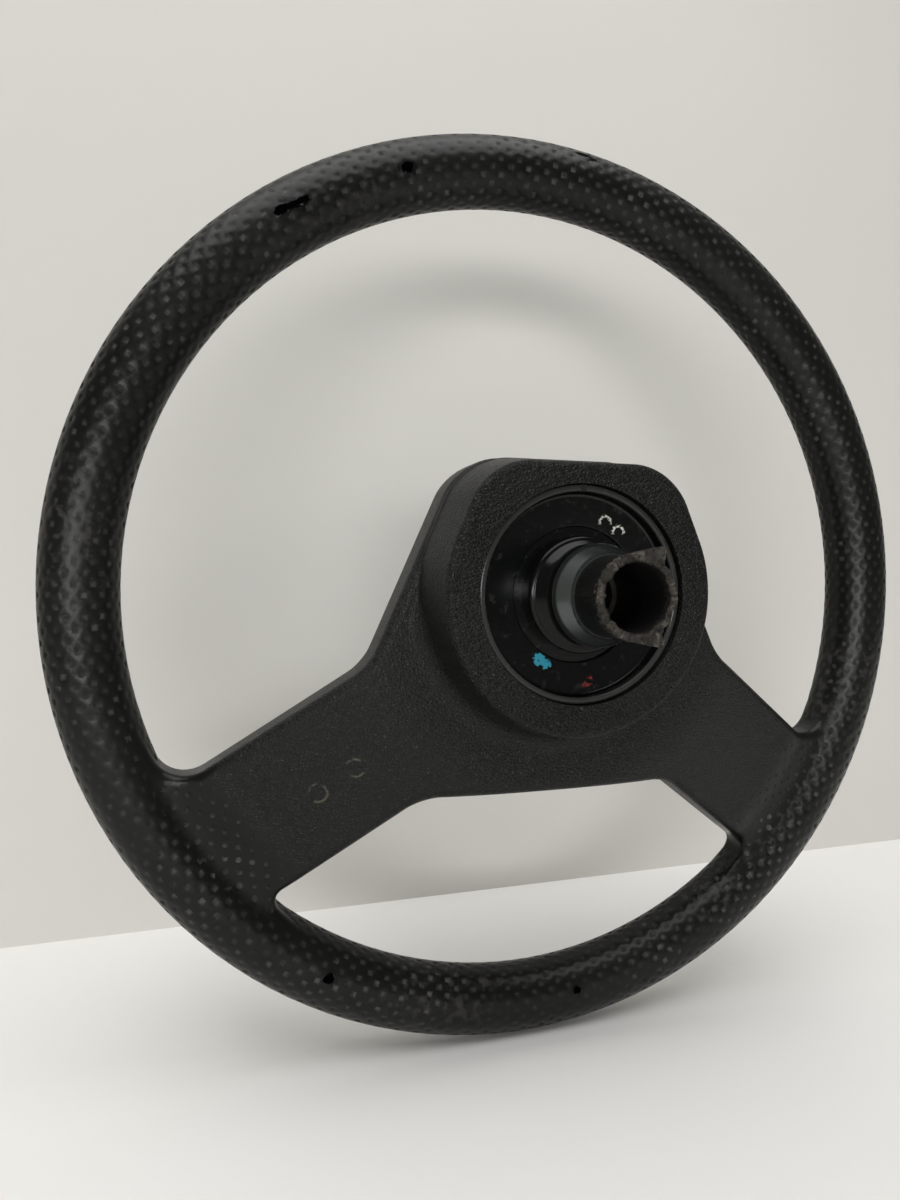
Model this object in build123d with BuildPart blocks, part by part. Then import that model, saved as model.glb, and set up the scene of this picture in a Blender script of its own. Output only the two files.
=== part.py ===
from build123d import *
import math
import os

# Two-spoke car steering wheel with a horn pad, in millimetres.
# Frame: +Z up, the wheel's axis along Y, the driver in front at -Y, the steering column behind at +Y.
# Origin: on the axis, level with the rear face of the hub shroud, inside the pilot bore.

# Rim
RIM_DIAMETER = 380.0        # over the outside of the grip
GRIP_RADIAL = 28.4          # grip section, along the wheel's radius
GRIP_AXIAL = 25.6           # grip section, along the wheel's axis
HUB_REACH = 58.0            # from the middle plane of the rim back to the shroud's rear face

# Spoke plate: a dished plate with two spokes that point down
PLATE_STEP = 24.0           # shroud's rear face to the plate's rear face
PLATE_THICKNESS = 20.0
PLATE_FLAT_MARGIN = 27.5    # flat of the plate round the shroud, before it slopes to the rim
PLATE_BEND_RADIUS = 60.0
SPOKE_END_REAR = 4.0        # spoke's rear face at the rim's core, behind the rim plane
SPOKE_END_FRONT = -11.5     # spoke's front face at the rim's core
PLATE_TOP_INSET = 13.5      # top corner of its outline inside the shroud's radius
PLATE_SHOULDER_REACH = 21.5  # shoulder of its outline outside the shroud's radius
PLATE_SHOULDER_Z = -26.0
PLATE_BOTTOM_REACH = 25.8   # lower edge below the shroud's radius
PLATE_BOTTOM_HALF = 53.0
SPOKE_TOP_SLOPE = -0.675
SPOKE_BOTTOM_SLOPE = -0.72
SPOKE_ANGLE = -37.5         # degrees, the middle line of the +X spoke
PLATE_TOP_CORNER_RADIUS = 24.0
PLATE_CORNER_RADIUS = 22.0
PLATE_EDGE_RADIUS = 4.0
SPOKE_FLARE_LENGTH = 20.3   # the spoke's edges flare over this length before the rim's core
SPOKE_FLARE = 26.0          # how far each edge has flared at the rim's core
SPOKE_FLARE_BEND = 12.0
FACE_TILT = 0.7             # faces turned further than this to the front or the rear are the plate's own

# Hub shroud: the raised boss of the moulding behind the plate
SHROUD_RADIUS = 52.5        # round lower part of its rear face
SHROUD_TOP_DROP = 4.3       # flat top below the round's own top
SHROUD_CORNER_RADIUS = 25.0
SHROUD_CORNER_X = 20.0
SHROUD_FLARE = 3.4          # how far its wall spreads down to the plate
SHROUD_FOOT_INSET = 0.4     # top of its foot inside the plate's top edge
SHROUD_EDGE_RADIUS = 2.5
SHROUD_FOOT_RADIUS = 8.0

# Armature
ARMATURE_ROD = 10.0
ARM_WIDTH = 24.0
ARM_GAUGE = 2.5
ARM_FLANGE = 6.0
ARM_END_DROP = 3.0          # front face of the arm at the ring, in front of the rim plane
WELD_GAP = 0.2
FOAM_GAP = 0.25             # between the moulding and the steel it is moulded on

# Hub dish: black pressed steel
DISH_RADIUS = 40.0
DISH_GAUGE = 2.5
DISH_LIP_DEPTH = 2.0        # shroud's rear face to the lip
DISH_FLOOR_DEPTH = 7.0      # shroud's rear face to the floor
DISH_STEP_RADIUS = 25.0
DISH_STEP = 1.5
DISH_FLANGE = 5.0           # its flange outside the cup
DISH_FLANGE_SINK = 12.0     # plate's rear face to the flange's rear face
DISH_NOTCH_WIDTH = 2.4
DISH_NOTCH_DEPTH = 0.8

# Hub boss: turned steel with a pilot bore and serrations
BOSS_RADIUS = 15.0
BOSS_FRONT = -27.0
BOSS_REAR = 2.0
BOSS_FLANGE_RADIUS = 24.0
BOSS_FLANGE = 3.5
BOSS_CHAMFER = 0.8
PILOT_RADIUS = 9.5
PILOT_LENGTH = 10.0
SERRATION_COUNT = 36
SERRATION_TIP_RADIUS = 8.5
SERRATION_DEPTH = 0.75
BOSS_HOLE_GAP = 0.2

# Cancel sleeve: stepped black sleeve on the dish
SLEEVE_COLLAR_RADIUS = 21.5
SLEEVE_COLLAR_REAR = -0.5
SLEEVE_COLLAR_ROUND = 1.6
SLEEVE_STEP_RADIUS = 19.4
SLEEVE_STEP_REAR = 1.2
SLEEVE_BODY_RADIUS = 18.3
SLEEVE_BODY_REAR = 11.5
SLEEVE_TUBE_RADIUS = 14.1
SLEEVE_CONE_REAR = 20.0
SLEEVE_END = 38.0
SLEEVE_BORE_RADIUS = 11.4
SLEEVE_SEAT_GAP = 0.2
EAR_TIP = (-9.8, 16.4)
EAR_LENGTH = 8.0
EAR_FOOT_X = 3.0
CHIP_RADIUS = 1.6
CHIP_ANGLES = (70.0, 128.0, 205.0, 262.0)

# Horn pad
PAD_TOP_MARGIN = 5.5        # pad inside the plate's top edge
PAD_SIDE_MARGIN = 2.0       # pad's top corner inside the plate's top corner
PAD_SHOULDER_MARGIN = 10.0  # pad's bottom corner inside the plate's shoulder
PAD_BOTTOM_MARGIN = 12.3    # pad inside the plate's lower edge
PAD_CORNER_RADIUS = 14.0
PAD_WALL = 2.5
PAD_DEPTH = 24.6
PAD_STOP_GAP = 0.4          # left under the pad at the end of its travel
PAD_DRAFT = 4.0             # degrees
PAD_CROWN_RADIUS = 700.0
PAD_EDGE_RADIUS = 4.0
PAD_GAP = 0.8               # round the pad, in its recess
RECESS_DEPTH = 4.0

# Horn mechanism
HORN_TRAVEL = 2.0           # press of the pad towards the column
BASE_GAUGE = 1.5
BASE_RIM_GAP = 0.5          # base plate inside the dish's flange edge
BASE_HOLE_RADIUS = 24.0
BASE_SCREW_RADIUS = 1.75
BASE_SCREW_OUTSET = 2.4     # screws outside the dish's cup
BASE_SCREW_ANGLES = (30.0, 150.0, 270.0)
BASE_SCREW_LENGTH = 8.0
SCREW_HEAD_RADIUS = 2.9
SCREW_HEAD = 2.0
SCREW_SLOT = 0.8
SCREW_GAP = 0.15
CARRIER_GAUGE = 1.2
CARRIER_RISE = 6.8          # base plate's front face to the carrier's rear face
CARRIER_TOP_MARGIN = 4.5    # carrier inside the pad's top and its top corners
CARRIER_SIDE_MARGIN = 18.0  # carrier's bottom corners inside the pad's
CARRIER_BOTTOM_MARGIN = 22.0
CARRIER_CORNER_RADIUS = 8.0
CARRIER_HOLE_RADIUS = 20.0
STUD_WALL_GAP = 2.0         # between the studs and the cup's wall
STUD_ANGLES = (45.0, 135.0, 225.0, 315.0)
STUD_RADIUS = 2.5
STUD_HEAD_RADIUS = 4.5
STUD_HEAD = 2.0
STUD_THREAD = 2.0
STUD_COLLAR_RADIUS = 4.0
STUD_COLLAR = 1.0
BUSH_FLANGE_RADIUS = 5.2
BUSH_FLANGE = 1.0
BUSH_RADIUS = 3.6
BUSH_TAIL = 1.0
SLIDE_GAP = 0.2
POST_RADIUS = 4.0
POST_INSET = (5.5, 4.5)     # upper posts inside the carrier's top corners
POST_BOTTOM_INSET = 6.0     # lower posts inside the carrier's bottom corners
CARRIER_SCREW_RADIUS = 1.5
CARRIER_SCREW_LENGTH = 8.0
CONTACT_INSET = 8.0         # contacts inside the cup's radius
CONTACT_RADIUS = 2.5
CONTACT_GAP = 0.3           # left between the contacts at the end of the travel
INSULATOR_SIZE = (24.0, 10.0)
INSULATOR_HEIGHT = 2.0
STRIP_SIZE = (20.0, 6.0)
STRIP_GAUGE = 0.8
STRIP_TAB = (6.3, 10.0)
STRIP_RIVET_X = 8.0
MOVING_CONTACT_HEIGHT = 1.0
RIVET_RADIUS = 1.2
RIVET_HEAD_RADIUS = 2.2
RIVET_HEAD = 0.8
SPRING_INSET = 9.0          # springs inside the cup's radius
SPRING_WIDTH = 7.0
SPRING_GAUGE = 0.6
SPRING_SPAN = 22.0
SPRING_FOOT = 7.0
SPRING_PLAY = 0.1

# Places worked out from the sizes above
RIM_Y = -HUB_REACH
CORE_RADIUS = (RIM_DIAMETER - GRIP_RADIAL) / 2
SHROUD_TOP = SHROUD_RADIUS - SHROUD_TOP_DROP
PLATE_TOP = SHROUD_TOP + SHROUD_FLARE + SHROUD_FOOT_INSET
PLATE_TOP_HALF = SHROUD_RADIUS - PLATE_TOP_INSET
PLATE_SHOULDER = (SHROUD_RADIUS + PLATE_SHOULDER_REACH, PLATE_SHOULDER_Z)
PLATE_BOTTOM = -SHROUD_RADIUS - PLATE_BOTTOM_REACH
PLATE_FLAT_RADIUS = SHROUD_RADIUS + PLATE_FLAT_MARGIN
SPOKE_FLARE_START = CORE_RADIUS - SPOKE_FLARE_LENGTH
PLATE_REAR_Y = -PLATE_STEP
PLATE_FRONT_Y = PLATE_REAR_Y - PLATE_THICKNESS
DISH_LIP_Y = -DISH_LIP_DEPTH
DISH_FLOOR_Y = -DISH_FLOOR_DEPTH
SLEEVE_SEAT_Y = DISH_FLOOR_Y - DISH_STEP
BOSS_SEAT_Y = SLEEVE_SEAT_Y - DISH_GAUGE
DISH_FLANGE_RADIUS = DISH_RADIUS + DISH_FLANGE
FLANGE_REAR_Y = PLATE_REAR_Y - DISH_FLANGE_SINK
FLANGE_FRONT_Y = FLANGE_REAR_Y - DISH_GAUGE
RECESS_Y = PLATE_FRONT_Y + RECESS_DEPTH
BASE_FRONT_Y = FLANGE_FRONT_Y - BASE_GAUGE
CARRIER_REAR_Y = BASE_FRONT_Y - CARRIER_RISE
CARRIER_FRONT_Y = CARRIER_REAR_Y - CARRIER_GAUGE
STUD_SEAT_Y = CARRIER_FRONT_Y - BUSH_FLANGE - SLIDE_GAP
PAD_TOP = PLATE_TOP - PAD_TOP_MARGIN
PAD_TOP_HALF = PLATE_TOP_HALF - PAD_SIDE_MARGIN
PAD_BOTTOM = PLATE_BOTTOM + PAD_BOTTOM_MARGIN
PAD_BOTTOM_HALF = PLATE_SHOULDER[0] - PAD_SHOULDER_MARGIN
PAD_REAR = RECESS_Y - HORN_TRAVEL - PAD_STOP_GAP
PAD_FRONT = PAD_REAR - PAD_DEPTH
ARM_LEVEL = math.hypot(PAD_BOTTOM_HALF, PAD_BOTTOM)
CARRIER_TOP = PAD_TOP - CARRIER_TOP_MARGIN
CARRIER_TOP_HALF = PAD_TOP_HALF - CARRIER_TOP_MARGIN
CARRIER_BOTTOM = PAD_BOTTOM + CARRIER_BOTTOM_MARGIN
CARRIER_BOTTOM_HALF = PAD_BOTTOM_HALF - CARRIER_SIDE_MARGIN
POSTS = (
    (CARRIER_TOP_HALF - POST_INSET[0], CARRIER_TOP - POST_INSET[1]),
    (CARRIER_BOTTOM_HALF - POST_BOTTOM_INSET, CARRIER_BOTTOM + POST_BOTTOM_INSET),
)
BASE_SCREW_CIRCLE = DISH_RADIUS + BASE_SCREW_OUTSET
STUD_CIRCLE = DISH_RADIUS - DISH_GAUGE - STUD_WALL_GAP - STUD_RADIUS
CONTACT_Z = DISH_RADIUS - CONTACT_INSET
SPRING_X = DISH_RADIUS - SPRING_INSET

SEAM_MARGIN = 2.0           # how far cuts run past a face, and selections reach round an edge

os.makedirs("parts", exist_ok=True)


def facing_driver(y):
    """Plane square to the axis at y: local x is +X, local y is +Z, and extrusions go towards the driver."""
    return Plane(origin=(0, y, 0), x_dir=(1, 0, 0), z_dir=(0, -1, 0))


def along_spoke(angle):
    """Plane through the axis along a spoke: local x runs out along the spoke and local y is +Y."""
    turn = math.radians(angle)
    return Plane(
        origin=(0, 0, 0),
        x_dir=(math.cos(turn), 0, math.sin(turn)),
        z_dir=(-math.sin(turn), 0, math.cos(turn)),
    )


def meet_circle(start, slope, radius):
    """Point where a line from start with this slope, going out to +X, meets a circle about the axis."""
    a = 1 + slope**2
    b = start[0] + slope * start[1]
    c = start[0] ** 2 + start[1] ** 2 - radius**2
    run = (-b + math.sqrt(b**2 - a * c)) / a
    return (start[0] + run, start[1] + slope * run)


def both_sides(points):
    """A half outline, from the top round the +X side, closed by its mirror image."""
    return list(points) + [(-x, z) for x, z in reversed(points)]


def on_circle(radius, angle):
    """Point on a circle about the axis, in the plane of the wheel."""
    return (radius * math.cos(math.radians(angle)), radius * math.sin(math.radians(angle)))


def boundary(faces):
    """Edges that belong to only one of these faces."""
    edges = [edge for face in faces for edge in face.edges()]
    return [edge for edge in edges if sum(edge.is_same(other) for other in edges) == 1]


def from_axis(shape):
    """Distance of a shape's middle from the wheel's axis."""
    centre = shape.center()
    return math.hypot(centre.X, centre.Z)


def turned(*points):
    """Turn a closed section, given as (radius, y) points, about the wheel's axis."""
    with BuildSketch(Plane.XY) as section:
        Polygon(*points, align=None)
    revolve(section.sketch, axis=Axis.Y)


def bars(places, radius, front, rear, mode=Mode.ADD):
    """Round bars, or holes, along the axis at places in the plane of the wheel, from front to rear."""
    with BuildSketch(facing_driver(rear)) as rounds:
        with Locations(*places):
            Circle(radius)
    extrude(rounds.sketch, amount=rear - front, mode=mode)


def pad_half(gap):
    """Half outline of the horn pad, grown by gap, from its top corner to its bottom corner."""
    return [(PAD_TOP_HALF + gap, PAD_TOP + gap), (PAD_BOTTOM_HALF + gap, PAD_BOTTOM - gap)]


def spoke_arm(angle, gap):
    """Pressed channel from the dish's flange to the armature ring, grown by gap all round."""
    inner = DISH_RADIUS + WELD_GAP - gap
    outer = CORE_RADIUS - ARMATURE_ROD / 2 - 3 * WELD_GAP + gap
    front = [(inner, FLANGE_REAR_Y), (ARM_LEVEL, FLANGE_REAR_Y), (outer, RIM_Y - ARM_END_DROP)]
    with BuildPart() as arm:
        with BuildSketch(along_spoke(angle)):
            lower = [(x, y - gap) for x, y in front]
            upper = [(x, y + ARM_FLANGE + gap) for x, y in front]
            Polygon(*lower, *reversed(upper), align=None)
        extrude(amount=ARM_WIDTH / 2 + gap, both=True)
        with BuildSketch(along_spoke(angle)):
            lower = [(inner - gap, FLANGE_REAR_Y + ARM_GAUGE + gap)]
            lower += [(x, y + ARM_GAUGE + gap) for x, y in front[1:]]
            lower += [(outer + gap, lower[-1][1])]
            upper = [(x, y + ARM_FLANGE + PLATE_THICKNESS) for x, y in lower]
            Polygon(*lower, *reversed(upper), align=None)
        extrude(amount=ARM_WIDTH / 2 - ARM_GAUGE - gap, both=True, mode=Mode.SUBTRACT)
    return arm.part


# Spoke plate of the moulding: the outline, dished by a turned profile, with rounded edges
spoke_top = meet_circle(PLATE_SHOULDER, SPOKE_TOP_SLOPE, CORE_RADIUS)
spoke_bottom = meet_circle((PLATE_BOTTOM_HALF, PLATE_BOTTOM), SPOKE_BOTTOM_SLOPE, CORE_RADIUS)
flare = math.degrees(SPOKE_FLARE / CORE_RADIUS)
plate_half = [
    (PLATE_TOP_HALF, PLATE_TOP),
    PLATE_SHOULDER,
    meet_circle(PLATE_SHOULDER, SPOKE_TOP_SLOPE, SPOKE_FLARE_START),
    on_circle(CORE_RADIUS, math.degrees(math.atan2(spoke_top[1], spoke_top[0])) + flare),
    on_circle(CORE_RADIUS, math.degrees(math.atan2(spoke_bottom[1], spoke_bottom[0])) - flare),
    meet_circle((PLATE_BOTTOM_HALF, PLATE_BOTTOM), SPOKE_BOTTOM_SLOPE, SPOKE_FLARE_START),
    (PLATE_BOTTOM_HALF, PLATE_BOTTOM),
]
plate_half_radii = [
    PLATE_TOP_CORNER_RADIUS,
    PLATE_CORNER_RADIUS,
    SPOKE_FLARE_BEND,
    0,
    0,
    SPOKE_FLARE_BEND,
    PLATE_CORNER_RADIUS,
]
with BuildPart() as spoke_plate:
    with BuildSketch(facing_driver(0)):
        with BuildLine():
            FilletPolyline(
                *both_sides(plate_half),
                radius=plate_half_radii + plate_half_radii[::-1],
                close=True,
            )
        make_face()
    extrude(amount=HUB_REACH + GRIP_AXIAL)
    with BuildSketch(Plane.XY):
        with BuildLine():
            FilletPolyline(
                (0, PLATE_REAR_Y),
                (PLATE_FLAT_RADIUS, PLATE_REAR_Y),
                (CORE_RADIUS, RIM_Y + SPOKE_END_REAR),
                (CORE_RADIUS, RIM_Y + SPOKE_END_FRONT),
                (PLATE_FLAT_RADIUS, PLATE_FRONT_Y),
                (0, PLATE_FRONT_Y),
                radius=[0, PLATE_BEND_RADIUS, 0, 0, PLATE_BEND_RADIUS, 0],
                close=True,
            )
        make_face()
    revolve(axis=Axis.Y, mode=Mode.INTERSECT)
    rear = [face for face in spoke_plate.faces() if face.normal_at().Y > FACE_TILT]
    front = [face for face in spoke_plate.faces() if face.normal_at().Y < -FACE_TILT]
    edges = boundary(rear) + boundary(front)
    rounded = [edge for edge in edges if from_axis(edge) < CORE_RADIUS - SEAM_MARGIN]
    fillet(rounded, radius=PLATE_EDGE_RADIUS)

# Raised shroud round the dish, drafted so that its top runs out to the plate's top edge
shroud_corner = Vector(SHROUD_CORNER_X, SHROUD_TOP - SHROUD_CORNER_RADIUS)
corner_spread = math.acos((SHROUD_RADIUS - SHROUD_CORNER_RADIUS) / shroud_corner.length)
round_top = math.degrees(math.atan2(shroud_corner.Y, shroud_corner.X) - corner_spread)
with BuildPart() as shroud:
    with BuildSketch(facing_driver(0)):
        with BuildLine():
            CenterArc((0, 0), SHROUD_RADIUS, 180 - round_top, 180 + 2 * round_top)
            CenterArc((shroud_corner.X, shroud_corner.Y), SHROUD_CORNER_RADIUS, 0, 90)
            CenterArc((-shroud_corner.X, shroud_corner.Y), SHROUD_CORNER_RADIUS, 90, 90)
        make_hull()
    extrude(amount=PLATE_STEP, taper=-math.degrees(math.atan2(SHROUD_FLARE, PLATE_STEP)))
    extrude(shroud.faces().sort_by(Axis.Y)[0], amount=PLATE_THICKNESS / 2)
    fillet(shroud.faces().sort_by(Axis.Y)[-1].edges(), radius=SHROUD_EDGE_RADIUS)

# Armature: ring and pressed arms
with BuildPart() as armature_ring:
    with BuildSketch(Plane.XY):
        with Locations((CORE_RADIUS, RIM_Y)):
            Circle(ARMATURE_ROD / 2)
    revolve(axis=Axis.Y)
armature_ring.part.label = "armature_ring"
export_step(armature_ring.part, "parts/armature_ring.step")

for name, angle in (("spoke_arm_right", SPOKE_ANGLE), ("spoke_arm_left", 180 - SPOKE_ANGLE)):
    arm = spoke_arm(angle, 0)
    arm.label = name
    export_step(arm, f"parts/{name}.step")

# Moulded grip, spokes and shroud, with a rounded foot and hollows for the steel it is moulded on
base_screw_places = [on_circle(BASE_SCREW_CIRCLE, angle) for angle in BASE_SCREW_ANGLES]
screw_tip = BASE_FRONT_Y + BASE_SCREW_LENGTH + FOAM_GAP
with BuildPart() as rim_moulding:
    with BuildSketch(Plane.XY):
        with Locations((CORE_RADIUS, RIM_Y)):
            Ellipse(GRIP_RADIAL / 2, GRIP_AXIAL / 2)
    revolve(axis=Axis.Y)
    add(spoke_plate.part)
    add(shroud.part)
    arcs = [edge for edge in rim_moulding.edges().filter_by(GeomType.CIRCLE) if edge.center().Z < 0]
    level = [edge for edge in arcs if abs(edge.center().Y - PLATE_REAR_Y) < SEAM_MARGIN]
    foot = [edge for edge in level if abs(from_axis(edge) - SHROUD_RADIUS) < 2 * SHROUD_FLARE]
    fillet(foot, radius=SHROUD_FOOT_RADIUS)
    with BuildSketch(Plane.XY):
        Polygon(
            (0, SEAM_MARGIN),
            (DISH_RADIUS + FOAM_GAP, SEAM_MARGIN),
            (DISH_RADIUS + FOAM_GAP, FLANGE_REAR_Y + FOAM_GAP),
            (DISH_FLANGE_RADIUS + FOAM_GAP, FLANGE_REAR_Y + FOAM_GAP),
            (DISH_FLANGE_RADIUS + FOAM_GAP, PLATE_FRONT_Y - SEAM_MARGIN),
            (0, PLATE_FRONT_Y - SEAM_MARGIN),
            align=None,
        )
    revolve(axis=Axis.Y, mode=Mode.SUBTRACT)
    with BuildSketch(facing_driver(RECESS_Y)):
        with BuildLine():
            FilletPolyline(*both_sides(pad_half(PAD_GAP)), radius=PAD_CORNER_RADIUS + PAD_GAP, close=True)
        make_face()
    extrude(amount=GRIP_AXIAL, mode=Mode.SUBTRACT)
    bars(base_screw_places, BASE_SCREW_RADIUS + FOAM_GAP, RECESS_Y, screw_tip, mode=Mode.SUBTRACT)
    with BuildSketch(Plane.XY):
        with Locations((CORE_RADIUS, RIM_Y)):
            Circle(ARMATURE_ROD / 2 + FOAM_GAP)
    revolve(axis=Axis.Y, mode=Mode.SUBTRACT)
    add(spoke_arm(SPOKE_ANGLE, FOAM_GAP), mode=Mode.SUBTRACT)
    add(spoke_arm(180 - SPOKE_ANGLE, FOAM_GAP), mode=Mode.SUBTRACT)
rim_moulding.part.label = "rim_moulding"
export_step(rim_moulding.part, "parts/rim_moulding.step")

# Hub dish: a drawn cup with a raised lip, a stepped floor and a flange for the horn plate
boss_hole = BOSS_RADIUS + BOSS_HOLE_GAP
screw_hole = BASE_SCREW_RADIUS + SCREW_GAP
with BuildPart() as hub_dish:
    turned(
        (DISH_RADIUS, FLANGE_REAR_Y),
        (DISH_RADIUS, DISH_LIP_Y),
        (DISH_RADIUS - DISH_GAUGE, DISH_LIP_Y),
        (DISH_RADIUS - DISH_GAUGE, DISH_FLOOR_Y),
        (DISH_STEP_RADIUS, DISH_FLOOR_Y),
        (DISH_STEP_RADIUS, SLEEVE_SEAT_Y),
        (boss_hole, SLEEVE_SEAT_Y),
        (boss_hole, BOSS_SEAT_Y),
        (DISH_STEP_RADIUS + DISH_GAUGE, BOSS_SEAT_Y),
        (DISH_STEP_RADIUS + DISH_GAUGE, DISH_FLOOR_Y - DISH_GAUGE),
        (DISH_RADIUS - DISH_GAUGE, DISH_FLOOR_Y - DISH_GAUGE),
        (DISH_RADIUS - DISH_GAUGE, FLANGE_FRONT_Y),
        (DISH_FLANGE_RADIUS, FLANGE_FRONT_Y),
        (DISH_FLANGE_RADIUS, FLANGE_REAR_Y),
    )
    bars(base_screw_places, screw_hole, FLANGE_FRONT_Y, FLANGE_REAR_Y, mode=Mode.SUBTRACT)
    with Locations((0, DISH_LIP_Y, DISH_RADIUS)):
        Box(DISH_NOTCH_WIDTH, 2 * DISH_NOTCH_DEPTH, 4 * DISH_GAUGE, mode=Mode.SUBTRACT)
hub_dish.part.label = "hub_dish"
export_step(hub_dish.part, "parts/hub_dish.step")

# Hub boss: flanged barrel with a plain pilot bore behind a serrated bore
pilot_front = BOSS_REAR - PILOT_LENGTH
with BuildPart() as hub_boss:
    turned(
        (SERRATION_TIP_RADIUS, BOSS_FRONT),
        (BOSS_RADIUS - BOSS_CHAMFER, BOSS_FRONT),
        (BOSS_RADIUS, BOSS_FRONT + BOSS_CHAMFER),
        (BOSS_RADIUS, BOSS_SEAT_Y - BOSS_FLANGE),
        (BOSS_FLANGE_RADIUS, BOSS_SEAT_Y - BOSS_FLANGE),
        (BOSS_FLANGE_RADIUS, BOSS_SEAT_Y),
        (BOSS_RADIUS, BOSS_SEAT_Y),
        (BOSS_RADIUS, BOSS_REAR - BOSS_CHAMFER),
        (BOSS_RADIUS - BOSS_CHAMFER, BOSS_REAR),
        (PILOT_RADIUS, BOSS_REAR),
        (PILOT_RADIUS, pilot_front),
        (SERRATION_TIP_RADIUS, pilot_front),
    )
    groove_half = math.pi * SERRATION_TIP_RADIUS / SERRATION_COUNT
    with BuildSketch(facing_driver(pilot_front)):
        with PolarLocations(SERRATION_TIP_RADIUS, SERRATION_COUNT):
            Polygon(
                (-SERRATION_DEPTH / 2, groove_half),
                (-SERRATION_DEPTH / 2, -groove_half),
                (SERRATION_DEPTH, 0),
                align=None,
            )
    extrude(amount=pilot_front - BOSS_FRONT, mode=Mode.SUBTRACT)
hub_boss.part.label = "hub_boss"
export_step(hub_boss.part, "parts/hub_boss.step")

# Cancel sleeve: turned steps, cone and tube, two ears at its end, and chips along the broken edge
ear_root = (SLEEVE_TUBE_RADIUS + SLEEVE_BORE_RADIUS) / 2
ear = [
    (EAR_FOOT_X, math.sqrt(SLEEVE_TUBE_RADIUS**2 - EAR_FOOT_X**2)),
    EAR_TIP,
    (EAR_TIP[0], math.sqrt(ear_root**2 - EAR_TIP[0] ** 2)),
    (EAR_FOOT_X, math.sqrt(ear_root**2 - EAR_FOOT_X**2)),
]
sleeve_seat = BOSS_RADIUS + SLEEVE_SEAT_GAP
sleeve_stop = BOSS_REAR + SLEEVE_SEAT_GAP
with BuildPart() as cancel_sleeve:
    with BuildSketch(Plane.XY):
        with BuildLine():
            FilletPolyline(
                (0, SLEEVE_SEAT_Y),
                (SLEEVE_COLLAR_RADIUS, SLEEVE_SEAT_Y),
                (SLEEVE_COLLAR_RADIUS, SLEEVE_COLLAR_REAR),
                (SLEEVE_STEP_RADIUS, SLEEVE_COLLAR_REAR),
                (SLEEVE_STEP_RADIUS, SLEEVE_STEP_REAR),
                (SLEEVE_BODY_RADIUS, SLEEVE_STEP_REAR),
                (SLEEVE_BODY_RADIUS, SLEEVE_BODY_REAR),
                (SLEEVE_TUBE_RADIUS, SLEEVE_CONE_REAR),
                (SLEEVE_TUBE_RADIUS, SLEEVE_END),
                (0, SLEEVE_END),
                radius=[0, 0, SLEEVE_COLLAR_ROUND, 0, 0, 0, 0, 0, 0, 0],
                close=True,
            )
        make_face()
    revolve(axis=Axis.Y)
    with BuildSketch(facing_driver(SLEEVE_END)):
        Polygon(*ear, align=None)
        Polygon(*[(x, -z) for x, z in ear], align=None)
    extrude(amount=EAR_LENGTH)
    bars([(0, 0)], SLEEVE_BORE_RADIUS, SLEEVE_SEAT_Y, SLEEVE_END, mode=Mode.SUBTRACT)
    bars([(0, 0)], sleeve_seat, SLEEVE_SEAT_Y, sleeve_stop, mode=Mode.SUBTRACT)
    chips = [on_circle(SLEEVE_TUBE_RADIUS, angle) for angle in CHIP_ANGLES]
    with Locations(*[(x, SLEEVE_END, z) for x, z in chips]):
        Sphere(CHIP_RADIUS, mode=Mode.SUBTRACT)
cancel_sleeve.part.label = "cancel_sleeve"
export_step(cancel_sleeve.part, "parts/cancel_sleeve.step")

# Horn base plate on the dish's flange
stud_places = [on_circle(STUD_CIRCLE, angle) for angle in STUD_ANGLES]
strip_rivet_places = [(STRIP_RIVET_X, CONTACT_Z), (-STRIP_RIVET_X, CONTACT_Z)]
spring_rivet_z = -(SPRING_SPAN + SPRING_FOOT) / 2
spring_rivet_places = [(SPRING_X, spring_rivet_z), (-SPRING_X, spring_rivet_z)]
rivet_hole = RIVET_RADIUS + SCREW_GAP
with BuildPart() as horn_base:
    bars([(0, 0)], DISH_FLANGE_RADIUS - BASE_RIM_GAP, BASE_FRONT_Y, FLANGE_FRONT_Y)
    bars([(0, 0)], BASE_HOLE_RADIUS, BASE_FRONT_Y, FLANGE_FRONT_Y, mode=Mode.SUBTRACT)
    bars(base_screw_places, screw_hole, BASE_FRONT_Y, FLANGE_FRONT_Y, mode=Mode.SUBTRACT)
    bars(stud_places, STUD_RADIUS + SCREW_GAP, BASE_FRONT_Y, FLANGE_FRONT_Y, mode=Mode.SUBTRACT)
    rivet_places = strip_rivet_places + spring_rivet_places
    bars(rivet_places, rivet_hole, BASE_FRONT_Y, FLANGE_FRONT_Y, mode=Mode.SUBTRACT)
horn_base.part.label = "horn_base"
export_step(horn_base.part, "parts/horn_base.step")

# Screws that hold the base plate, with slotted heads
with BuildPart() as base_screws:
    bars(base_screw_places, BASE_SCREW_RADIUS, BASE_FRONT_Y, BASE_FRONT_Y + BASE_SCREW_LENGTH)
    bars(base_screw_places, SCREW_HEAD_RADIUS, BASE_FRONT_Y - SCREW_HEAD, BASE_FRONT_Y)
    with BuildSketch(facing_driver(BASE_FRONT_Y - SCREW_HEAD / 2)):
        with Locations(*base_screw_places):
            Rectangle(2 * SCREW_HEAD_RADIUS, SCREW_SLOT)
    extrude(amount=SCREW_HEAD, mode=Mode.SUBTRACT)
base_screws.part.label = "base_screws"
export_step(base_screws.part, "parts/base_screws.step")

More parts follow.
